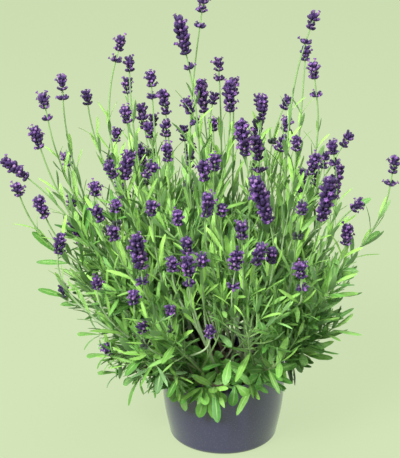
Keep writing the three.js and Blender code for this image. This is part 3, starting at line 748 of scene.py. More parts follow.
# florets in a ring round each point of a flower head
def whorlTree():
    plan, given = newTree("floretWhorls", "GeometryNodeTree", [
        ("Whorls", "Geometry"), ("Florets", "Collection"), ("Floret Kinds", "Int", 3),
        ("Stalk Radius", "Float", 0.001), ("Along Calyx", "Float", 0.0), ("Open Share", "Float", 1.0),
        ("Follow Bloom", "Float", 0.0), ("Size", "Float", 1.0), ("Size Variation", "Float", 0.12),
        ("Tilt Variation", "Float", 0.16), ("Seed", "Int", 1), ("Finish", "Material"),
    ], [("Florets", "Geometry")])
    copies = plan.add("GeometryNodeDuplicateElements", {
        "Geometry": given["Whorls"], "Amount": plan.named("florets", "INT")}, domain="POINT").outputs
    axis = plan.named("axis", "FLOAT_VECTOR")
    level = plan.vectors("NORMALIZE", plan.vectors("CROSS_PRODUCT", axis, (0, 1, 0)))
    step = plan.maths("DIVIDE", 2 * math.pi, plan.named("florets", "INT"))
    turn = plan.plus(plan.times(copies["Duplicate Index"], step), plan.named("turn"))
    turn = plan.plus(turn, plan.chance(-whorlChance["turn"], whorlChance["turn"]))
    side = plan.turned(level, axis, turn)
    tilt = plan.times(given["Tilt Variation"], plan.chance(-1.0, 1.0, 1))
    heading = plan.leaned(axis, side, plan.plus(tilt, plan.named("tilt")))
    length = plan.varied(plan.named("size"), given["Size Variation"], 2)
    shift = plan.vectors("ADD", plan.scaled(side, given["Stalk Radius"]),
                         plan.scaled(heading, plan.times(length, given["Along Calyx"])))
    moved = plan.result("GeometryNodeSetPosition", {"Geometry": copies["Geometry"], "Offset": shift})
    share = plan.plus(given["Open Share"], plan.times(given["Follow Bloom"], plan.named("bloom")))
    isOpen = plan.maths("LESS_THAN", plan.chance(0.0, almostOne, 3), share)
    roll = plan.combined(plan.chance(-whorlChance["roll"], whorlChance["roll"], 4), 0.0, 0.0)
    return plan.closeGrowth(placeKinds(
        plan, moved, isOpen, given["Florets"], given["Floret Kinds"], heading, axis, roll,
        plan.times(length, given["Size"]), 5))


crumbChance = {"upright": 0.5, "turn": 6.28, "radius": (0.35, 1.0), "flat": (0.8, 0.55)}


# crumbs strewn over the faces that look up
def crumbTree():
    plan, given = newTree("strewnCrumbs", "GeometryNodeTree", [
        ("Ground", "Geometry"), ("Density", "Float", 100000.0), ("Crumb Radius", "Float", 0.0015),
        ("Lowest", "Float", 0.07), ("Seed", "Int", 1), ("Finish", "Material"),
    ], [("Crumbs", "Geometry")])
    normal = plan.split(plan.result("GeometryNodeInputNormal"))[2]
    height = plan.split(plan.result("GeometryNodeInputPosition"))[2]
    upper = plan.times(plan.above(normal, crumbChance["upright"]), plan.above(height, given["Lowest"]))
    spots = plan.result("GeometryNodeDistributePointsOnFaces", {
        "Mesh": given["Ground"], "Selection": upper, "Density": given["Density"], "Seed": given["Seed"]})
    crumb = plan.result("GeometryNodeMeshIcoSphere", {0: 1.0, 1: 1})
    turn = plan.result("FunctionNodeEulerToRotation", {
        0: plan.combined(*(plan.chance(0.0, crumbChance["turn"], k) for k in (1, 2, 3)))})
    radius = plan.times(given["Crumb Radius"], plan.chance(*crumbChance["radius"], 4))
    return plan.closeGrowth(plan.result("GeometryNodeInstanceOnPoints", {
        "Points": spots, "Instance": crumb, "Rotation": turn,
        "Scale": plan.combined(radius, *(plan.times(radius, part) for part in crumbChance["flat"]))}))


# soft patches between two colours, with the same pattern as a height
def mottleGroup():
    plan, given = newTree("mottle", "ShaderNodeTree", [
        ("Pattern", "Vector"), ("Scale", "Float", 100.0), ("Detail", "Float", 3.0),
        ("Low", "Color", (0, 0, 0, 1)), ("High", "Color", (1, 1, 1, 1)),
    ], [("Colour", "Color"), ("Height", "Float")])
    noise = plan.noise(given["Pattern"], given["Scale"], given["Detail"], Roughness=0.6)
    patch = plan.spanned(noise, 0.32, 0.68)
    return plan.closeGroup(plan.blended(patch, given["Low"], given["High"]), patch)


# short hairs: a height that runs in fine streaks
def downGroup():
    plan, given = newTree("down", "ShaderNodeTree", [
        ("Pattern", "Vector"), ("Fineness", "Float", 2500.0), ("Stretch", "Float", 0.25),
    ], [("Height", "Float")])
    squeezed = plan.vectors("MULTIPLY", given["Pattern"], plan.combined(1.0, 1.0, given["Stretch"]))
    return plan.closeGroup(plan.noise(squeezed, given["Fineness"], 2.0))


mottle = mottleGroup()
down = downGroup()


def newMaterial(name):
    material = bpy.data.materials.new(name)
    material.use_nodes = True
    material.node_tree.nodes.clear()
    plan = NodePlan(material.node_tree)
    plan.material = material
    return plan, plan.add("ShaderNodeTexCoord").outputs["Object"]


def mottled(plan, pattern, scale, low, high, detail=3.0):
    return plan.add("ShaderNodeGroup", {"Pattern": pattern, "Scale": scale, "Detail": detail,
                                        "Low": low, "High": high}, node_tree=mottle).outputs


def downy(plan, pattern, fineness, stretch):
    return plan.result("ShaderNodeGroup", {"Pattern": pattern, "Fineness": fineness, "Stretch": stretch},
                       node_tree=down)


def closeMaterial(plan, colour, roughness, shaderInputs):
    shader = plan.result("ShaderNodeBsdfPrincipled", {
        "Base Color": colour, "Roughness": roughness, **shaderInputs})
    plan.add("ShaderNodeOutputMaterial", {0: shader})
    return plan.material


# In the finishes, patches are a scale, a low and a high colour; hairs a fineness and a stretch;
# a bump its strength and its distance in metres.
leafFinish = {
    "deep": (0.018, 0.100, 0.011, 1), "mid": (0.098, 0.335, 0.050, 1), "young": (0.320, 0.620, 0.120, 1),
    "grey": (0.210, 0.360, 0.190, 1), "rib": (0.330, 0.520, 0.190, 1), "under": (0.190, 0.350, 0.150, 1),
    # inner, with its radii, heights and share: painted shade that darkens leaves near the middle of the crown
    # and low down
    "inner": (0.008, 0.046, 0.007, 1), "innerRadius": (0.024, 0.074), "paintedShadeHeight": (0.18, 0.27),
    "paintedShadeShare": 0.8, "roughness": 0.46, "greyShare": 0.7, "underShare": 0.75,
    "patches": (260.0, (0.80, 0.84, 0.80, 1), (1.12, 1.10, 1.05, 1)),
    "hairs": (1800.0, 0.5), "bump": (0.35, 0.0004), "veins": {"Scale": 5.0, "Distortion": 0.6},
}


def leafMaterial():
    plan, here = newMaterial("leaf_green")
    tint, youth = plan.attribute("tint"), plan.attribute("youth")
    aside, along, _ = plan.uv()
    base = plan.blended(plan.spanned(tint, 0.1, 0.9), leafFinish["deep"], leafFinish["mid"])
    base = plan.blended(plan.spanned(tint, 0.75, 1.0, 0.0, leafFinish["greyShare"]), base, leafFinish["grey"])
    base = plan.blended(youth, base, leafFinish["young"])
    x, y, z = plan.split(here)
    radius = plan.maths("SQRT", plan.plus(plan.times(x, x), plan.times(y, y)))
    inner = plan.times(plan.spanned(radius, *leafFinish["innerRadius"], 1.0, 0.0),
                       plan.spanned(z, *leafFinish["paintedShadeHeight"], leafFinish["paintedShadeShare"], 0.0))
    base = plan.blended(inner, base, leafFinish["inner"])  # painted shade: leaves near the middle of the crown and low down are darkened where shade falls, with a little of older leaves' darker tone
    shade = plan.blended(1.0, base, mottled(plan, here, *leafFinish["patches"])["Colour"], "MULTIPLY")
    fromRib = plan.maths("ABSOLUTE", plan.maths("SUBTRACT", aside, 0.5))
    rib = plan.times(plan.spanned(fromRib, 0.03, 0.10, 0.55, 0.0), plan.spanned(along, 0.7, 1.0, 1.0, 0.0))
    shade = plan.blended(rib, shade, leafFinish["rib"])
    under = plan.above(aside, 1.001)  # u runs past one on the blade's underside
    shade = plan.blended(plan.times(under, leafFinish["underShare"]), shade, leafFinish["under"])
    slanted = plan.result("ShaderNodeCombineXYZ", {0: plan.plus(along, plan.times(fromRib, -0.35))})
    veins = plan.add("ShaderNodeTexWave", {"Vector": slanted, **leafFinish["veins"]}).outputs["Fac"]
    hairs = downy(plan, here, *leafFinish["hairs"])
    height = plan.maths("SUBTRACT", plan.plus(plan.times(veins, 0.6), hairs), plan.times(rib, 1.2))
    roughness = plan.spanned(hairs, 0.2, 0.8, leafFinish["roughness"] - 0.08, leafFinish["roughness"] + 0.12)
    return closeMaterial(plan, shade, roughness, {
        "Normal": plan.bumped(height, *leafFinish["bump"]), "Specular IOR Level": 0.42,
        "Sheen Weight": 0.03, "Sheen Roughness": 0.5})


stalkFinish = {
    "pale": (0.560, 0.690, 0.460, 1), "green": (0.330, 0.500, 0.230, 1), "wood": (0.080, 0.062, 0.036, 1),
    "fresh": (0.170, 0.340, 0.085, 1), "leafyPale": (0.270, 0.440, 0.160, 1),
    "leafyGreen": (0.110, 0.250, 0.055, 1), "woodHeights": (0.098, 0.135),
    "freshHeights": (0.17, 0.26), "freshShare": 0.85, "patchScale": 45.0,
    "hairs": (2200.0, 0.12), "bump": (0.5, 0.0003),
}


def stalkMaterial(name, low, high):
    plan, here = newMaterial(name)
    colour = mottled(plan, here, stalkFinish["patchScale"], low, high)["Colour"]
    height = plan.split(here)[2]
    woody = plan.spanned(height, *stalkFinish["woodHeights"], 1.0, 0.0)
    fresh = plan.spanned(height, *stalkFinish["freshHeights"], 0.0, stalkFinish["freshShare"])
    colour = plan.blended(fresh, colour, stalkFinish["fresh"])
    colour = plan.blended(woody, colour, stalkFinish["wood"])
    hairs = downy(plan, here, *stalkFinish["hairs"])
    return closeMaterial(plan, colour, plan.spanned(hairs, 0.2, 0.8, 0.45, 0.65), {
        "Normal": plan.bumped(hairs, *stalkFinish["bump"]), "Sheen Weight": 0.05, "Sheen Roughness": 0.5})


violetFinish = {
    "dark": (0.018, 0.007, 0.055, 1), "violet": (0.084, 0.031, 0.200, 1), "bud": (0.022, 0.034, 0.030, 1),
    "lilac": (0.175, 0.060, 0.290, 1), "throat": (0.680, 0.420, 0.660, 1), "sheen": 0.10,
    "sheenTint": (0.75, 0.62, 0.95, 1), "ribs": 10, "paleTip": 0.36,
    "calyxPatches": (700.0, (0.75, 0.75, 0.75, 1), (1.2, 1.15, 1.2, 1)), "hairs": (2600.0, 0.4),
    "calyxBump": (0.6, 0.0004), "petalPatches": (900.0, (0.85, 0.82, 0.88, 1), (1.15, 1.1, 1.15, 1)),
    "petalBump": (0.3, 0.0003),
}


def calyxMaterial():
    plan, here = newMaterial("calyx_violet")
    around, along, _ = plan.uv()
    tint, ripe = plan.attribute("tint"), plan.attribute("ripe")
    ribs = plan.maths("ABSOLUTE", plan.maths("SINE", plan.times(around, math.pi * violetFinish["ribs"])))
    body = plan.blended(plan.times(tint, plan.spanned(ribs, 0.0, 1.0, 0.35, 1.0)),
                        violetFinish["dark"], violetFinish["violet"])
    tip = plan.times(plan.spanned(along, 0.80, 0.97, 0.0, violetFinish["paleTip"]),
                     plan.spanned(tint, 0.4, 0.9))
    body = plan.blended(tip, body, violetFinish["throat"])
    body = plan.blended(ripe, violetFinish["bud"], body)
    body = plan.blended(1.0, body, mottled(plan, here, *violetFinish["calyxPatches"])["Colour"], "MULTIPLY")
    hairs = downy(plan, here, *violetFinish["hairs"])
    height = plan.plus(hairs, plan.times(ribs, 0.8))
    return closeMaterial(plan, body, plan.spanned(hairs, 0.2, 0.8, 0.5, 0.75), {
        "Normal": plan.bumped(height, *violetFinish["calyxBump"]), "Sheen Weight": violetFinish["sheen"],
        "Sheen Roughness": 0.4, "Sheen Tint": violetFinish["sheenTint"]})


def corollaMaterial():
    plan, here = newMaterial("corolla_lilac")
    petal = plan.blended(plan.attribute("tint"), violetFinish["violet"], violetFinish["lilac"])
    petal = plan.blended(plan.spanned(plan.uv()[1], 0.0, 0.45, 0.65, 0.0), petal, violetFinish["throat"])
    patches = mottled(plan, here, *violetFinish["petalPatches"])
    petal = plan.blended(1.0, petal, patches["Colour"], "MULTIPLY")
    return closeMaterial(plan, petal, plan.spanned(patches["Height"], 0.0, 1.0, 0.4, 0.6), {
        "Normal": plan.bumped(patches["Height"], *violetFinish["petalBump"]),
        "Sheen Weight": 0.2, "Sheen Roughness": 0.4})


glazeFinish = {
    "low": (0.030, 0.025, 0.085, 1), "high": (0.037, 0.030, 0.097, 1), "lip": (0.34, 0.37, 0.42, 1),
    "roughness": 0.36, "coat": 1.0, "coatRoughness": 0.12, "patchScale": 22.0, "specks": (1400.0, 2.0),
    "lipHeights": (0.0826, 0.0840), "lipShare": 0.9, "speckShare": 0.35, "bump": (0.08, 0.0004),
}


def glazeMaterial():
    plan, here = newMaterial("pot_glaze")
    patches = mottled(plan, here, glazeFinish["patchScale"], glazeFinish["low"], glazeFinish["high"])
    specks = plan.noise(here, *glazeFinish["specks"])
    speckled = plan.blended(plan.spanned(specks, 0.60, 0.75, 0.0, glazeFinish["speckShare"]),
                            patches["Colour"], glazeFinish["lip"])
    lip = plan.spanned(plan.split(here)[2], *glazeFinish["lipHeights"], 0.0, glazeFinish["lipShare"])
    colour = plan.blended(lip, speckled, glazeFinish["lip"])  # the glaze runs thin over the lip
    roughness = plan.spanned(patches["Height"], 0.0, 1.0, glazeFinish["roughness"] - 0.03,
                             glazeFinish["roughness"] + 0.05)
    return closeMaterial(plan, colour, roughness, {
        "Normal": plan.bumped(specks, *glazeFinish["bump"]), "Coat Weight": glazeFinish["coat"],
        "Coat Roughness": glazeFinish["coatRoughness"]})


compostFinish = {
    "patches": (300.0, (0.010, 0.007, 0.004, 1), (0.055, 0.038, 0.024, 1), 6.0),  # the last is detail
    "bump": (0.8, 0.001),
}


def compostMaterial():
    plan, here = newMaterial("compost")
    patches = mottled(plan, here, *compostFinish["patches"])
    return closeMaterial(plan, patches["Colour"], plan.spanned(patches["Height"], 0.0, 1.0, 0.95, 0.8), {
        "Normal": plan.bumped(patches["Height"], *compostFinish["bump"])})


materials = {
    "leaf": leafMaterial(), "stalk": stalkMaterial("stalk_green", stalkFinish["green"], stalkFinish["pale"]),
    "leafyStem": stalkMaterial("leafy_stem_green", stalkFinish["leafyGreen"], stalkFinish["leafyPale"]),
    "calyx": calyxMaterial(), "corolla": corollaMaterial(), "glaze": glazeMaterial(),
    "compost": compostMaterial(),
}
print("materials made:", len(materials))

# Meshes.


def finishPiece(piece, nodes=()):
    print(piece.name, "has", sum(len(face.vertices) - 2 for face in piece.data.polygons), "triangles")
    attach(piece, "root")
    if nodes:
        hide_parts(*nodes)
    return piece


def pieceFromBmesh(name, bm, material, smooth=True):
    bmesh.ops.recalc_face_normals(bm, faces=bm.faces)
    mesh = bpy.data.meshes.new(name)
    bm.to_mesh(mesh)
    bm.free()
    for polygon in mesh.polygons:
        polygon.use_smooth = smooth
    if material:
        mesh.materials.append(material)
    return bpy.data.objects.new(name, mesh)


columnKinds = {"florets": "INT", "axis": "FLOAT_VECTOR"}  # every other column holds plain numbers


def storeColumns(mesh, columns):  # one value a point, under each name
    for key, column in columns.items():
        kind = columnKinds.get(key, "FLOAT")
        numbers = np.array(column, dtype=int if kind == "INT" else float).ravel().tolist()
        mesh.attributes.new(key, kind, "POINT").data.foreach_set(
            "vector" if kind == "FLOAT_VECTOR" else "value", numbers)


# closed skin over rings of points, with the ring position in u and the length in v
def addLoft(bm, rings, us, alongs, start, end, sharpAt=()):
    uvLayer = bm.loops.layers.uv.get("UVMap") or bm.loops.layers.uv.new("UVMap")
    count = len(rings[0])
    made = [[bm.verts.new(point) for point in ring] for ring in rings]
    first, last = bm.verts.new(start), bm.verts.new(end)

    def face(corners):
        added = bm.faces.new([vert for vert, _ in corners])
        for loop, (_, uv) in zip(added.loops, corners):
            loop[uvLayer].uv = uv

    for j in range(count):
        after = (j + 1) % count
        u, uNext = us[j], us[j + 1]
        face([(first, ((u + uNext) / 2, 0)), (made[0][after], (uNext, alongs[0])),
              (made[0][j], (u, alongs[0]))])
        for i in range(len(rings) - 1):
            face([(made[i][j], (u, alongs[i])), (made[i][after], (uNext, alongs[i])),
                  (made[i + 1][after], (uNext, alongs[i + 1])), (made[i + 1][j], (u, alongs[i + 1]))])
        face([(made[-1][j], (u, alongs[-1])), (made[-1][after], (uNext, alongs[-1])),
              (last, ((u + uNext) / 2, 1))])
    for j in sharpAt:
        chain = [first, *(ring[j] for ring in made), last]
        for a, b in zip(chain, chain[1:]):
            bm.edges.get((a, b)).smooth = False


# Pot and compost, in millimetres but for what goes into the crumb tree.
potLook = {"sides": 128, "wallSteps": 12, "lipSteps": 10, "cornerSteps": 8}
soilLook = {
    "sides": 96, "rings": 22, "wallHeights": (24, 42, 60), "wallGap": 0.4, "floorGap": 0.3, "footGap": 0.6,
    "edgeDrop": 2.2, "topDrop": 1, "clodsFrom": 1.5, "clod": 1.4,
    "crumbs": {"Density": 120000, "Crumb Radius": 0.0016, "Lowest": 0.072, "Seed": 5},
}
wallRun = potForm["height"] - potForm["wall"] / 2 - potForm["footCorner"]
wallLean = (potForm["rimRadius"] - potForm["footRadius"] - potForm["footCorner"]) / wallRun


def outerRadius(z):
    rise = z - potForm["footCorner"]
    return (potForm["footRadius"] + potForm["footCorner"] + wallLean * rise
            + potForm["bow"] * math.sin(math.pi * rise / wallRun))


def innerRadius(z):
    return outerRadius(z) - potForm["wall"]


def arcSpots(centre, radius, start, end, steps):
    return [(centre[0] + radius * math.cos(angle), centre[1] + radius * math.sin(angle))
            for angle in (math.radians(start + (end - start) * i / steps) for i in range(steps + 1))]


def latheBmesh(outline, sides):  # the outline runs from pole to pole, in millimetres
    bm = bmesh.new()
    rings = []
    for radius, z in outline:
        if radius == 0:
            rings.append([bm.verts.new((0, 0, z * millimetre))] * sides)
        else:
            rings.append([bm.verts.new(around(2 * math.pi * j / sides, radius * millimetre, z * millimetre))
                          for j in range(sides)])
    for low, high in zip(rings, rings[1:]):
        for j in range(sides):
            after = (j + 1) % sides
            corners = [low[j], low[after], high[after], high[j]]
            bm.faces.new(list(dict.fromkeys(corners)))
    return bm


def buildPot():
    lip, corner = potForm["wall"] / 2, potForm["footCorner"]
    outline = [(0, 0), (potForm["footRadius"] * 0.5, 0)]
    outline += arcSpots((potForm["footRadius"], corner), corner, -90, 0, potLook["cornerSteps"])
    lipCentre = (potForm["rimRadius"] - lip, potForm["height"] - lip)
    lipSpots = arcSpots(lipCentre, lip, 0, 180, potLook["lipSteps"])
    heights = [corner + wallRun * k / potLook["wallSteps"] for k in range(1, potLook["wallSteps"])]
    outline += [(outerRadius(z), z) for z in heights] + lipSpots
    outline += [(innerRadius(z), z) for z in reversed(heights)] + [(innerRadius(corner), corner)]
    outline += [(innerRadius(corner) - corner + potForm["floor"], potForm["floor"]), (0, potForm["floor"])]
    piece = pieceFromBmesh("glazed_pot", latheBmesh(outline, potLook["sides"]), materials["glaze"])
    return finishPiece(addToScene(piece), ["pot"])


def clodHeight(x, y):
    return (math.sin(0.31 * x + 1) * math.cos(0.27 * y) * 0.9
            + math.sin(0.9 * x + 0.5 * y) * math.cos(0.8 * y - 0.4 * x) * 0.5 * soilLook["clod"])


def buildCompost():
    corner, top, wallGap = potForm["footCorner"], potForm["soilTop"], soilLook["wallGap"]
    low, edge, rings = potForm["floor"] + soilLook["floorGap"], innerRadius(top) - wallGap, soilLook["rings"]
    outline = [(0, low), (innerRadius(corner) - corner + potForm["floor"] - soilLook["footGap"], low),
               (innerRadius(corner) - wallGap, corner + soilLook["floorGap"])]
    outline += [(innerRadius(z) - wallGap, z) for z in soilLook["wallHeights"]]
    outline += [(edge, top - soilLook["edgeDrop"])]
    outline += [(edge * (1 - k / rings), top - soilLook["topDrop"]) for k in range(1, rings)]
    outline += [(0, top - soilLook["topDrop"])]
    bm = latheBmesh(outline, soilLook["sides"])
    for vert in bm.verts:
        if vert.co.z > (top - soilLook["clodsFrom"]) * millimetre:
            vert.co.z += clodHeight(vert.co.x * 1000, vert.co.y * 1000) * millimetre
    bed = addToScene(pieceFromBmesh("compost_bed", bm, materials["compost"]))
    finishPiece(bed, ["compost"])
    finishPiece(growMesh("compost_crumbs", bed.data.copy(), crumbTree(), {
        **soilLook["crumbs"], "Finish": materials["compost"]}))


# Blades and florets, and the collections that the trees draw from.
def kindsCollection(name, objects):
    collection = bpy.data.collections.new(name)
    for item in objects:
        collection.objects.link(item)
    return collection


narrowBlade = {"length": 32, "width": 6.4, "thickness": 0.5, "curl": 0.12,
               "stations": ((0.08, 0.28), (0.28, 0.74), (0.58, 1.0), (0.84, 0.76), (0.95, 0.42))}
broadBlade = {"width": 8.2, "thickness": 0.6, "curl": 0.10,
              "stations": ((0.08, 0.18), (0.28, 0.46), (0.52, 0.84), (0.74, 1.0), (0.89, 0.78), (0.96, 0.46))}
bladeKinds = {"count": 6, "seed": 31, "arch": (-0.12, 0.46), "sway": (-0.16, 0.16), "twist": (-0.6, 0.6),
              "slimWidth": 4.9}


# rings of a blade along its spine: right edge, channelled top, left edge, keel below
def bladeRings(spine, sideStart, sideEnd, form, width):
    rings, alongs = [], []
    for share, fullness in form["stations"]:
        centre = spineSpot(spine, share)
        axis = unit(spineSpot(spine, share + 0.01) - spineSpot(spine, share - 0.01))
        side = mix(sideStart, sideEnd, share)
        side = unit(side - axis * side.dot(axis))
        above = cross(axis, side)
        half = 0.5 * width * fullness
        drop = above * (form["curl"] * half * 2)
        rings.append([Vector(spot * millimetre) for spot in (
            centre - side * half - drop, centre, centre + side * half - drop,
            centre - above * form["thickness"] - drop * 0.6)])
        alongs.append(share)
    return rings, alongs


def addBlade(bm, spine, sideStart, sideEnd, form, width):
    rings, alongs = bladeRings(spine, sideStart, sideEnd, form, width)
    addLoft(bm, rings, (0, 0.5, 1, 1.5, 2), alongs, Vector(spine[0] * millimetre),
            Vector(spine[2] * millimetre), sharpAt=(0, 2))


def buildBladeKinds(name, form):
    draw = seededDraws(bladeKinds["seed"])
    kinds = []
    for k in range(bladeKinds["count"]):
        arch, sway, twist = (draw(*bladeKinds[key]) for key in ("arch", "sway", "twist"))
        length = form["length"]
        spine = (spot3(0, 0, 0), spot3(0.5 * length, 0, 0.12 * arch * length),
                 spot3(length, sway * length, -arch * length))
        bm = bmesh.new()
        addBlade(bm, spine, spot3(0, 1, 0), spot3(0, math.cos(twist), math.sin(twist)), form, form["width"])
        kinds.append(pieceFromBmesh(f"{name}_{k}", bm, None))
    return kindsCollection(name, kinds)


floretForm = {
    "calyxLength": 6.4, "calyxWidth": 3.3, "lean": 1.0, "ribs": 5,
    "calyxKinds": ((1.0, 1.0), (0.86, 1.12), (1.1, 0.9)),  # length and width, as shares
    "corollaKinds": ((1.0, 1.6), (0.82, 2.2), (1.12, 1.2)),  # width as a share, flare
    "calyxRings": ((0.10, 0.50), (0.40, 0.95), (0.76, 1.0), (0.95, 0.66)),
    "lobeReach": (2.4, 2.0), "notch": 0.55, "lobes": 5, "petalThickness": 0.22,
}


def buildCalyxKinds():
    kinds = []
    for k, (stretch, fat) in enumerate(floretForm["calyxKinds"]):
        bm = bmesh.new()
        length, radius = floretForm["calyxLength"] * stretch, 0.5 * floretForm["calyxWidth"] * fat
        rings, alongs, ribs = [], [], floretForm["ribs"]
        for share, fullness in floretForm["calyxRings"]:
            bend = 0.5 * share * share
            rings.append([Vector((share * length, radius * fullness * math.cos(2 * math.pi * j / ribs),
                                  radius * fullness * math.sin(2 * math.pi * j / ribs) + bend)) * millimetre
                          for j in range(ribs)])
            alongs.append(share)
        addLoft(bm, rings, [j / ribs for j in range(ribs + 1)], alongs,
                Vector((0, 0, 0)), Vector((0.93 * length, 0, 0.5)) * millimetre)
        kinds.append(pieceFromBmesh(f"calyx_{k}", bm, None))
    return kindsCollection("calyx_kinds", kinds)


def buildCorollaKinds():
    kinds = []
    lobes = floretForm["lobes"]
    for k, (wide, flare) in enumerate(floretForm["corollaKinds"]):
        bm = bmesh.new()
        outline = []
        for j in range(2 * lobes):
            reach = floretForm["lobeReach"][0 if j in (0, 2) else 1] * wide
            outline.append(reach if j % 2 == 0 else reach * floretForm["notch"])

        def ring(x, radii, lift=0.0):
            return [Vector((x + (lift if j % 2 == 0 else 0), r * math.cos(math.pi * j / lobes),
                            r * math.sin(math.pi * j / lobes))) * millimetre for j, r in enumerate(radii)]

        thin = floretForm["petalThickness"]
        rings = [ring(0.6, [0.75] * 2 * lobes), ring(flare, outline, -0.5),
                 ring(flare + thin, [r * 0.96 for r in outline], -0.5), ring(0.9 + thin, [0.6] * 2 * lobes)]
        addLoft(bm, rings, [j / (2 * lobes) for j in range(2 * lobes + 1)], (0.15, 1.0, 0.95, 0.2),
                Vector((-1.4, 0, 0)) * millimetre, Vector((0.35, 0, 0)) * millimetre)
        kinds.append(pieceFromBmesh(f"corolla_{k}", bm, None))
    return kindsCollection("corolla_kinds", kinds)


# Stems as chains of points, with what grows along them: lengths in millimetres, girths in metres.
def chainMesh(name, chains):
    points, edges = [], []
    values = {"girth": [], "leafSize": [], "youth": [], "openness": []}
    for chain in chains:
        start = len(points)
        points += [Vector(spot * millimetre) for spot in chain["points"]]
        edges += [(i, i + 1) for i in range(start, len(points) - 1)]
        last = len(chain["points"]) - 1
        for key, column in values.items():
            column += [chain[key](i / last) for i in range(last + 1)]
    mesh = bpy.data.meshes.new(name)
    mesh.from_pydata(points, edges, [])
    storeColumns(mesh, values)
    return mesh


def pathLength(points):
    return sum(float(np.linalg.norm(b - a)) for a, b in zip(points, points[1:]))


def finePath(control, spacing):
    rough = bezierPoints(control, 8)
    return bezierPoints(control, max(6, round(pathLength(rough) / spacing)))


def curveSpots(spine, steps):
    return [spineSpot(spine, t / steps) for t in range(steps + 1)]


def nearestOn(points, spot):
    return min(points, key=lambda point: float((point - spot).dot(point - spot)))


def ramp(*stops):  # straight lines between (share, value) stops
    shares, heights = zip(*stops)
    return lambda share: float(np.interp(share, shares, heights))


fineSteps = 60  # where a curve is sampled closely
clearing = {"aside": (-42, 34), "ahead": -14, "height": (98, 178)}  # where the flower stalks stand bare


def inClearing(spot):
    return (clearing["aside"][0] < spot[0] < clearing["aside"][1] and spot[1] < clearing["ahead"]
            and clearing["height"][0] < spot[2] < clearing["height"][1])


def rooted(points, isMain, parent, look):  # from below the compost, or from the stem that it forks off
    return [points[0] - upward * look["underground"] if isMain else nearestOn(parent, points[0])] + points


def chainOf(points, girth, look, youth):  # the looks hold (share, value) stops
    last, sizes = len(points) - 1, ramp(*look["leafSize"])
    return {
        "points": points, "girth": ramp(*girth), "youth": ramp(*youth), "openness": ramp(*look["openness"]),
        "leafSize": lambda share: 0.0 if inClearing(points[round(share * last)]) else sizes(share)}


stalkLook = {
    "spacing": 8, "base": 0.0018, "fork": 0.0013, "neck": (0.9, 0.0008), "tip": 0.0006, "underground": 18,
    "headShares": (0.35, 0.7, 0.93),
    "leafSize": ((0, 0), (0.14, 0), (0.18, 1.0), (0.5, 0.95), (0.78, 0.65), (0.80, 0), (1, 0)),
    "youth": ((0, 0.1), (0.5, 0.55), (0.7, 0.95), (1, 0.95)), "openness": ((0, 1), (0.5, 0.8), (1, 0.6)),
}


def stalkChains():
    chains, mains = [], {}
    for stalk in stalks:
        head = stalk["head"]
        points = finePath(stalk["control"], stalkLook["spacing"])
        total = float(np.linalg.norm(head["tip"] - head["foot"]))
        top = [head["foot"] + head["axis"] * (total * share) for share in stalkLook["headShares"]]
        if stalk["main"]:
            mains[stalk["spray"]] = points
        points = rooted(points, stalk["main"], mains[stalk["spray"]], stalkLook)
        base = stalkLook["base" if stalk["main"] else "fork"]
        girth = ((0, base), stalkLook["neck"], (1, stalkLook["tip"]))
        chains.append(chainOf(points + top, girth, stalkLook, stalkLook["youth"]))
    return chains


shootLook = {
    "spacing": 8, "base": 0.0016, "fork": 0.0012, "tip": 0.0007, "underground": 18,
    "leafSize": ((0, 0), (0.2, 0), (0.24, 1.0), (0.8, 1.0), (1, 0.7)),
    "youth": ((0, 0), (0.6, 0.15), (1, 0.7)), "openness": ((0, 1), (0.8, 0.85), (1, 0.5)),
}
twigLook = {
    "seed": 400, "nodes": 7, "from": 0.24, "to": 0.97, "length": (40, 66), "shrink": 0.45, "steps": 6,
    "aim": (0.45, 0.68), "rise": {"high": 0.5, "low": 0.15}, "along": (0.1, 0.9), "turn": 0.4, "upTurn": 0.45,
    "girth": ((0, 0.001), (1, 0.0006)), "room": 1.2, "fresh": (0.22, 1.1),
    "leafSize": ((0, 0), (0.08, 0), (0.12, 0.92), (0.7, 0.85), (1, 0.55)),
    "openness": ((0, 1), (0.7, 0.8), (1, 0.45)),
    # how far out twigs may end, and which are left out
    "margin": 1.04, "frontThin": 0.24, "rightThin": 0.38, "leftMore": 0.22, "lowPolars": (45, 70),
    "lowestEnd": {"left": 86, "right": 120}, "rightFrom": 20, "skip": 0.14, "window": 0.95, "skipBelow": 190,
}


def insideBush(spot):  # drawn in to the dome that the branches fill
    away = spot - crown
    reach = float(np.linalg.norm(away))
    slope = math.degrees(math.acos(max(-1, min(1, away[2] / reach))))
    polar = math.radians(min(slope, bushForm["lowestPolar"]))
    low = float(np.interp(slope, twigLook["lowPolars"], (0, 1)))
    front = max(0, -away[1] / reach)  # the side that the stalks lean over stays thin
    right = max(0, away[0] / reach)
    margin = twigLook["margin"] - low * (twigLook["frontThin"] * front + twigLook["rightThin"] * right)
    margin += low * twigLook["leftMore"] * max(0, -away[0] / reach)
    most = envelopeReach(polar, math.atan2(away[1], away[0])) * margin
    return crown + away * min(1, most / reach)


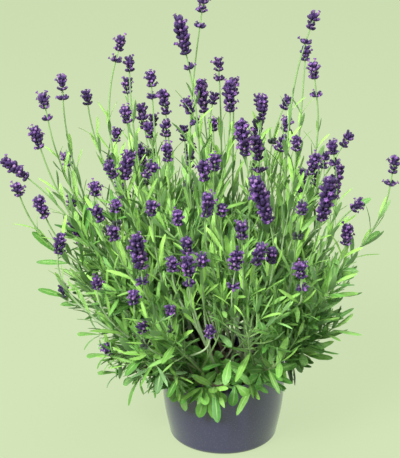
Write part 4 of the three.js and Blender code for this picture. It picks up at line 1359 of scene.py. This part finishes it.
def twigChains(grown):
    draw = seededDraws(twigLook["seed"] + grown["owner"])
    rise = twigLook["rise"]["low" if grown["low"] else "high"]
    chains = []
    for shoot in grown["shoots"]:
        fine = bezierPoints(shoot["control"], fineSteps)
        phase = draw(0, math.pi)
        for k in range(twigLook["nodes"]):
            share = mix(twigLook["from"], twigLook["to"], (k + draw(*twigLook["along"])) / twigLook["nodes"])
            at, axis = spotOn(fine, share)
            for opposite in (0, math.pi):
                turn = phase + k * math.pi / 2 + opposite + draw(-twigLook["turn"], twigLook["turn"])
                length = draw(*twigLook["length"]) * (1 - twigLook["shrink"] * share)
                leave = unit(mix(axis, across(axis, turn), draw(*twigLook["aim"])))
                aim = unit(mix(leave, upward, rise))
                end = insideBush(at + leave * ((1 - twigLook["upTurn"]) * length)
                                 + aim * (twigLook["upTurn"] * length))
                middle = at + leave * (0.5 * float(np.linalg.norm(end - at)))
                points = curveSpots((at, middle, end), twigLook["steps"])
                fresh, chance = draw(*twigLook["fresh"]), draw(0, 1)
                lowest = twigLook["lowestEnd"]["right" if end[0] > twigLook["rightFrom"] else "left"]
                if not clearOfPot(rodsAlong(points, lambda i: twigLook["room"])) or end[2] < lowest:
                    continue
                skip = twigLook["window" if inClearing(end) else "skip"]
                if chance < skip and end[2] < twigLook["skipBelow"]:
                    continue
                fresh = min(1, fresh)
                chains.append(chainOf(points, twigLook["girth"], twigLook,
                                      ((0, 0.05), (0.6, 0.35 * fresh), (1, fresh))))
    return chains


def shootChains(grown):
    chains, main = [], None
    for shoot in grown["shoots"]:
        points = finePath(shoot["control"], shootLook["spacing"])
        if shoot["main"]:
            main = points
        girth = ((0, shootLook["base" if shoot["main"] else "fork"]), (1, shootLook["tip"]))
        points = rooted(points, shoot["main"], main, shootLook)
        chains.append(chainOf(points, girth, shootLook, shootLook["youth"]))
    return chains


# one piece of single leaves, each with its own shade; a row is spine, side, form, width, tint, youth
def leavesPiece(name, rows):
    bm = bmesh.new()
    shades = {"tint": [], "youth": []}
    for spine, side, form, width, tint, youth in rows:
        before = len(bm.verts)
        addBlade(bm, spine, side, side, form, width)
        bm.verts.ensure_lookup_table()
        for key, value in (("tint", tint), ("youth", youth)):
            shades[key] += [value] * (len(bm.verts) - before)
    piece = pieceFromBmesh(name, bm, materials["leaf"])
    storeColumns(piece.data, shades)
    return addToScene(piece)


shootSpots = [spot for grown in bush for shoot in grown["shoots"]
              for spot in bezierPoints(shoot["control"], fineSteps)]
stalkSpots = [spot for stalk in stalks for spot in bezierPoints(stalk["control"], fineSteps)]
mainLeafLook = {
    "seed": 15, "tint": (0.1, 1.0), "youth": (0.0, 0.45), "widen": 1.12,
    "rightLow": (62, 118), "shorten": 0.55,  # leaves that end further right and lower are shortened
}


def mainLeafRows():
    draw = seededDraws(mainLeafLook["seed"])
    rows = []
    for leaf in mainLeaves:
        base, middle, tip = leaf["spine"]
        if tip[0] > mainLeafLook["rightLow"][0] and tip[2] < mainLeafLook["rightLow"][1]:
            middle, tip = (mix(base, spot, mainLeafLook["shorten"]) for spot in (middle, tip))
        rows.append(((nearestOn(shootSpots, base), middle, tip), -leaf["side"],
                     broadBlade if leaf["low"] else narrowBlade, leaf["width"] * mainLeafLook["widen"],
                     draw(*mainLeafLook["tint"]), draw(*mainLeafLook["youth"])))
    return rows


# Tufts of broad leaves that hang over the rim. A tuft has a node, where its short stem ends,
# and the tips that its leaves reach, in millimetres. The far side has its own by a rule.
rimLook = {
    "seed": 63, "width": (9.5, 12.5), "girth": ((0, 0.001), (1, 0.0008)), "swell": 7, "lift": 3,
    "leafSize": ((0, 0), (1, 0)), "openness": ((0, 1), (1, 1)), "tint": (0.45, 1.0), "youth": (0.0, 0.34),
    "bearings": (14, 40, 68, 96, 122, 148, 172), "sway": 11, "nodeRadius": 70, "nodeHeight": (82, 90),
    "out": (5, 10), "drop": (6, 34), "fan": (-0.42, -0.16, 0.12, 0.38), "overRim": 98, "steps": 8,
    "stem": {"inward": 0.8, "up": 34, "over": 0.93}, "faceUp": 0.3,
    "inner": {"count": 26, "radius": (44, 60), "height": (98, 121), "out": (7, 17), "drop": (-24, 24),
              "sway": 0.4, "fanSway": 0.1},
    "tufts": (
        ((-44, -55, 86), ((-54, -60, 64), (-40, -67, 57), (-68, -50, 78), (-28, -66, 76), (-52, -66, 92))),
        ((-17, -69, 84), ((-26, -77, 55), (-9, -77, 53), (-33, -73, 74), (2, -75, 72), (-16, -80, 94))),
        ((10, -70, 90), ((8, -77, 68), (24, -75, 79), (16, -80, 100))),
        ((35, -61, 97), ((34, -72, 83), (46, -66, 92), (24, -73, 93), (42, -70, 106))),
        ((-36, -50, 104), ((-53, -62, 98), (-43, -68, 87), (-25, -66, 92), (-31, -62, 116), (-51, -52, 114))),
        ((-5, -58, 101), ((-20, -74, 93), (-4, -77, 86), (12, -74, 92), (-13, -66, 116), (7, -68, 114))),
        ((27, -54, 106), ((14, -68, 100), (30, -70, 97), (43, -61, 103), (21, -62, 120), (36, -57, 121))),
        ((-86, -24, 76), ((-101, -30, 44), (-84, -36, 60), (-106, -24, 66))),
        ((-108, -20, 78), ((-133, -22, 79), (-123, -32, 66), (-124, -12, 90), (-112, -34, 84))),
        ((-128, -20, 122), ((-153, -22, 124), (-146, -28, 108), (-140, -10, 137))),
        ((-119, -30, 104), ((-143, -34, 104), (-132, -38, 91), (-130, -24, 118))),
    ),
}


def rimTufts():
    draw = seededDraws(rimLook["seed"])
    tufts = [(spot3(*node), [spot3(*tip) for tip in tips]) for node, tips in rimLook["tufts"]]
    for bearing in rimLook["bearings"]:
        turn = math.radians(bearing + draw(-rimLook["sway"], rimLook["sway"]))
        radius = rimLook["nodeRadius"]
        node = around(turn, radius, draw(*rimLook["nodeHeight"]))
        tufts.append((node, [
            around(turn + fan, radius + draw(*rimLook["out"]), node[2] - draw(*rimLook["drop"]))
            for fan in rimLook["fan"]]))
    inner = rimLook["inner"]
    for k in range(inner["count"]):  # short shoots all round, above the rim
        turn = 2 * math.pi * (k + draw(-inner["sway"], inner["sway"])) / inner["count"]
        radius, height = draw(*inner["radius"]), draw(*inner["height"])
        tufts.append((around(turn, radius, height), [
            around(turn + fan + draw(-inner["fanSway"], inner["fanSway"]), radius + draw(*inner["out"]),
                   height - draw(*inner["drop"]))
            for fan in rimLook["fan"]]))
    return tufts


def growRimTufts():
    draw = seededDraws(rimLook["seed"] + 1)
    chains, rows, stem = [], [], rimLook["stem"]
    for node, tips in rimTufts():
        outward = unit(spot3(node[0], node[1], 0))
        start = nearestOn(shootSpots, node * stem["inward"] + upward * stem["up"])
        over = spot3(node[0] * stem["over"], node[1] * stem["over"], max(rimLook["overRim"], node[2]))
        chains.append(chainOf(curveSpots((start, over, node), rimLook["steps"]), rimLook["girth"], rimLook,
                              ((0, 0), (1, 0))))
        for tip in tips:
            middle = mix(node, tip, 0.5) + outward * rimLook["swell"] + upward * rimLook["lift"]
            axis = unit(tip - node)
            side = cross(outward, axis)
            if float(np.linalg.norm(side)) < rimLook["faceUp"]:  # one that points straight out lies face up
                side = cross(upward, axis)
            rows.append(((node, middle, tip), unit(side), broadBlade, draw(*rimLook["width"]),
                         draw(*rimLook["tint"]), draw(*rimLook["youth"])))
    return chains, rows


# Larger leaves on the outer stalks: the spot that each springs from, its heading, length and width
edgeLeaves = (
    ((-170, -30, 225), (-0.75, 0.75), 36, 8), ((-165, -40, 205), (-1.0, 0.1), 33, 6),
    ((-150, -50, 180), (-0.9, 0.35), 30, 6.5), ((-140, -30, 160), (-0.95, 0.1), 28, 6),
    ((135, -20, 255), (0.75, 0.55), 24, 6.5), ((140, -30, 215), (0.7, 0.7), 26, 7.5),
    ((130, -40, 190), (1.0, 0.15), 26, 7.5), ((120, -20, 170), (0.95, 0.3), 24, 6.5),
)


def edgeLeafRows():
    rows = []
    for near, (aside, rise), length, width in edgeLeaves:
        base = nearestOn(stalkSpots, spot3(*near))
        axis = unit(spot3(aside, -0.15, rise))
        side = unit(cross(axis, spot3(0, -0.7, 0.7)))
        rows.append(((base, base + axis * (0.5 * length) + upward * 2, base + axis * length),
                     -side, narrowBlade, width, 0.5, 0.15))
    return rows


# Flower heads; a layer's row is shift, tilt, size, florets.
headLook = {
    "seed": 900, "layers": ((-1.9, 1.0, 1.0, 7), (1.5, 0.66, 0.95, 6)), "inset": 0.8,
    "lowLayers": ((-0.8, 1.1, 1.15, 6), (0.4, 0.7, 0.95, 4)), "crownTuft": (-5.4, 0.3, 0.9, 5),
    "budChance": 0.27, "budAt": (0.80, 0.92), "budLayers": ((0, 1.0, 1.0, 5), (1.8, 0.45, 0.85, 3)),
    "bloom": (0.05, 0.44), "turn": (0, 6.28),
    "treeSeed": 21,  # shared, so that each open floret sits in its own calyx
}


def whorlMesh():
    draw = seededDraws(headLook["seed"])
    calyxReach = floretForm["calyxLength"] * math.sin(floretForm["lean"])
    points, rows = [], []

    def addWhorl(spot, axis, tilt, size, florets, bloom, ripe):
        points.append(Vector(spot * millimetre))
        rows.append((tilt, size, draw(*headLook["turn"]), bloom, ripe, florets, axis))

    for stalk in stalks:
        head = stalk["head"]
        bloom = draw(*headLook["bloom"])
        for i, (along, radius) in enumerate(head["rings"]):
            lowWhorl = head["low"] and i == 0
            for shift, tilt, size, florets in headLook["lowLayers" if lowWhorl else "layers"]:
                reach = (radius - headLook["inset"]) / calyxReach
                addWhorl(head["foot"] + head["axis"] * (along + shift), head["axis"], tilt,
                         size * reach, florets, bloom, 1)
        shift, tilt, size, florets = headLook["crownTuft"]
        addWhorl(head["tip"] + head["axis"] * shift, head["axis"], tilt, size, florets, bloom, 1)
        if draw(0, 1) < headLook["budChance"]:  # a whorl of green buds further down the stalk
            at, axis = spotOn(bezierPoints(stalk["control"], fineSteps), draw(*headLook["budAt"]))
            for shift, tilt, size, florets in headLook["budLayers"]:
                addWhorl(at + axis * shift, axis, tilt, size, florets, 0, 0)
    mesh = bpy.data.meshes.new("whorls")
    mesh.from_pydata(points, [], [])
    storeColumns(mesh, dict(zip(("tilt", "size", "turn", "bloom", "ripe", "florets", "axis"), zip(*rows))))
    return mesh


# What is built, in order.
sprayNodes = [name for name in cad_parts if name.startswith("flowering_spray")]
branchNodes = [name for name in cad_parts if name.startswith("leafy_branch")]

buildPot()
buildCompost()

narrowKinds = buildBladeKinds("narrow_blades", narrowBlade)
slimKinds = buildBladeKinds("slim_blades", {**narrowBlade, "width": bladeKinds["slimWidth"]})
pairTree, skinTree, floretTree = leafPairTree(), stemSkinTree(), whorlTree()
rim = {"Rim Radius": potForm["rimRadius"] * millimetre, "Rim Height": potForm["height"] * millimetre}

flowerChains = stalkChains()
rimChains, rimRows = growRimTufts()
finishPiece(growMesh("flower_stalks", chainMesh("stalk_paths", flowerChains + rimChains), skinTree,
                     {"Finish": materials["stalk"]}), sprayNodes)
whorls = whorlMesh()
finishPiece(growMesh("calyces", whorls, floretTree, {
    "Florets": buildCalyxKinds(), "Finish": materials["calyx"],
    "Seed": headLook["treeSeed"]}), sprayNodes)
finishPiece(growMesh("open_florets", whorls, floretTree, {
    "Florets": buildCorollaKinds(), "Finish": materials["corolla"], "Seed": headLook["treeSeed"],
    "Open Share": 0.0, "Follow Bloom": 1.0,
    "Along Calyx": floretForm["calyxLength"] * millimetre}))

allShoots = [chain for grown in bush for chain in shootChains(grown)]
allTwigs = [chain for grown in bush for chain in twigChains(grown)]
print(len(allShoots), "shoots,", len(allTwigs), "twigs")
finishPiece(growMesh("leafy_stems", chainMesh("shoot_paths", allShoots + allTwigs), skinTree,
                     {"Finish": materials["leafyStem"]}), branchNodes)
finishPiece(leavesPiece("main_leaves", mainLeafRows()), branchNodes)
finishPiece(leavesPiece("rim_leaves", rimRows))
finishPiece(leavesPiece("edge_leaves", edgeLeafRows()))

leafLook = {
    "shoot_leaves": {
        "Pair Spacing": 0.011, "Spread": 0.85, "Lift": 0.12, "Sky Turn": 0.5, "Size": 1.1, "Seed": 51},
    "twig_leaves": {
        "Pair Spacing": 0.0092, "Spread": 0.80, "Lift": 0.2, "Sky Turn": 0.4, "Size": 0.95, "Seed": 61},
    "stalk_leaves": {
        "Pair Spacing": 0.0165, "Spread": 0.62, "Lift": 0.2, "Sky Turn": 0.3, "Size": 1.05, "Seed": 71},
}
for name, chains, kinds in (("shoot_leaves", allShoots, narrowKinds), ("twig_leaves", allTwigs, slimKinds),
                            ("stalk_leaves", flowerChains, slimKinds)):
    finishPiece(growMesh(name, chainMesh(name + "_paths", chains), pairTree, {
        "Blades": kinds, "Blade Kinds": bladeKinds["count"], "Finish": materials["leaf"],
        "Blade Length": narrowBlade["length"] * millimetre, **rim, **leafLook[name]}))

# Stage: floor, lights and camera.
stageLook = {
    "floorRadius": 9.0, "floorSides": 96, "floorDrop": 0.0005, "floor": (0.042, 0.050, 0.032, 1),
    "patchScale": 1.2, "patchGain": 1.02, "floorGlow": (0.570, 0.682, 0.420, 1),
    "bounce": 0.46,  # share of the floor's glow that reaches the plant
    "world": (0.92, 0.95, 0.90, 1), "worldStrength": 0.36, "aim": (0, 0, 0.2),
    "lamps": {  # watts, size, place, colour
        "key": (185, (1.1, 1.1), (-1.2, -2.0, 2.2), (1.0, 0.98, 0.95)),
        "fill": (26, (1.6, 1.6), (2.2, -1.6, 1.2), (1, 1, 1)),
        "top": (36, (1.4, 1.4), (0.3, 0.3, 2.7), (1, 1, 1)),
    },
    # low strips beside the pot, which its glaze picks up along both edges
    "strips": {"power": 22, "size": (0.35, 0.9), "place": (1.15, 0.75, 0.28), "aim": (0, 0, 0.05)},
}


def dimmed(colour, share):
    return (*(part * share for part in colour[:3]), 1)


def buildFloor():
    bm = bmesh.new()
    bmesh.ops.create_circle(bm, cap_ends=True, radius=stageLook["floorRadius"],
                            segments=stageLook["floorSides"])
    plan, here = newMaterial("pale_floor")
    patches = mottled(plan, here, stageLook["patchScale"], stageLook["floor"],
                      dimmed(stageLook["floor"], stageLook["patchGain"]))
    path = plan.add("ShaderNodeLightPath").outputs
    seen = plan.maths("MAXIMUM", path["Is Camera Ray"], path["Is Glossy Ray"])  # reflections show it as it is
    dim = dimmed(stageLook["floorGlow"], stageLook["bounce"])
    material = closeMaterial(plan, patches["Colour"], 0.9, {
        "Specular IOR Level": 0.0, "Emission Color": plan.blended(seen, dim, stageLook["floorGlow"]),
        "Emission Strength": 1.0})
    floor = pieceFromBmesh("floor", bm, material, smooth=False)
    floor.data.transform(Matrix.Translation((0, 0, -stageLook["floorDrop"])))
    addToScene(floor)


def aimed(item, place, way):  # things look along their own -Z
    item.location = place
    item.rotation_mode = "QUATERNION"
    item.rotation_quaternion = way.to_track_quat("-Z", "Y")
    return addToScene(item)


def addLight(name, power, size, place, target, colour):
    light = bpy.data.lights.new(name, "AREA")
    light.energy, light.color = power, colour
    light.shape, light.size, light.size_y = "RECTANGLE", size[0], size[1]
    return aimed(bpy.data.objects.new(name, light), place, Vector(target) - Vector(place))


def buildStudio():
    world = bpy.data.worlds.new("studio")
    bpy.context.scene.world = world
    world.use_nodes = True
    background = world.node_tree.nodes["Background"]
    background.inputs["Color"].default_value = stageLook["world"]
    background.inputs["Strength"].default_value = stageLook["worldStrength"]
    for name, (power, size, place, colour) in stageLook["lamps"].items():
        addLight(name, power, size, place, stageLook["aim"], colour)
    potOnly = bpy.data.collections.new("lit_by_strips")
    potOnly.objects.link(bpy.data.objects["glazed_pot"])
    strips = stageLook["strips"]
    aside, behind, height = strips["place"]
    for side in (-1, 1):
        lamp = addLight("strip", strips["power"], strips["size"], (side * aside, behind, height),
                        strips["aim"], (1, 1, 1))
        lamp.light_linking.receiver_collection = potOnly
    bpy.context.scene.view_settings.view_transform = "Standard"


cameraLook = {"aim": (-0.025, 0.0, 0.232), "distance": 1.4, "elevation": 20.0, "lens": 106.9, "sensor": 36}


def buildCamera():
    camera = bpy.data.cameras.new("camera")
    camera.lens, camera.sensor_width = cameraLook["lens"], cameraLook["sensor"]
    slope = math.radians(cameraLook["elevation"])
    back = Vector((0, -math.cos(slope), math.sin(slope)))
    place = Vector(cameraLook["aim"]) + back * cameraLook["distance"]
    bpy.context.scene.camera = aimed(bpy.data.objects.new("camera", camera), place, -back)


buildFloor()
buildStudio()
buildCamera()
print("stage set")
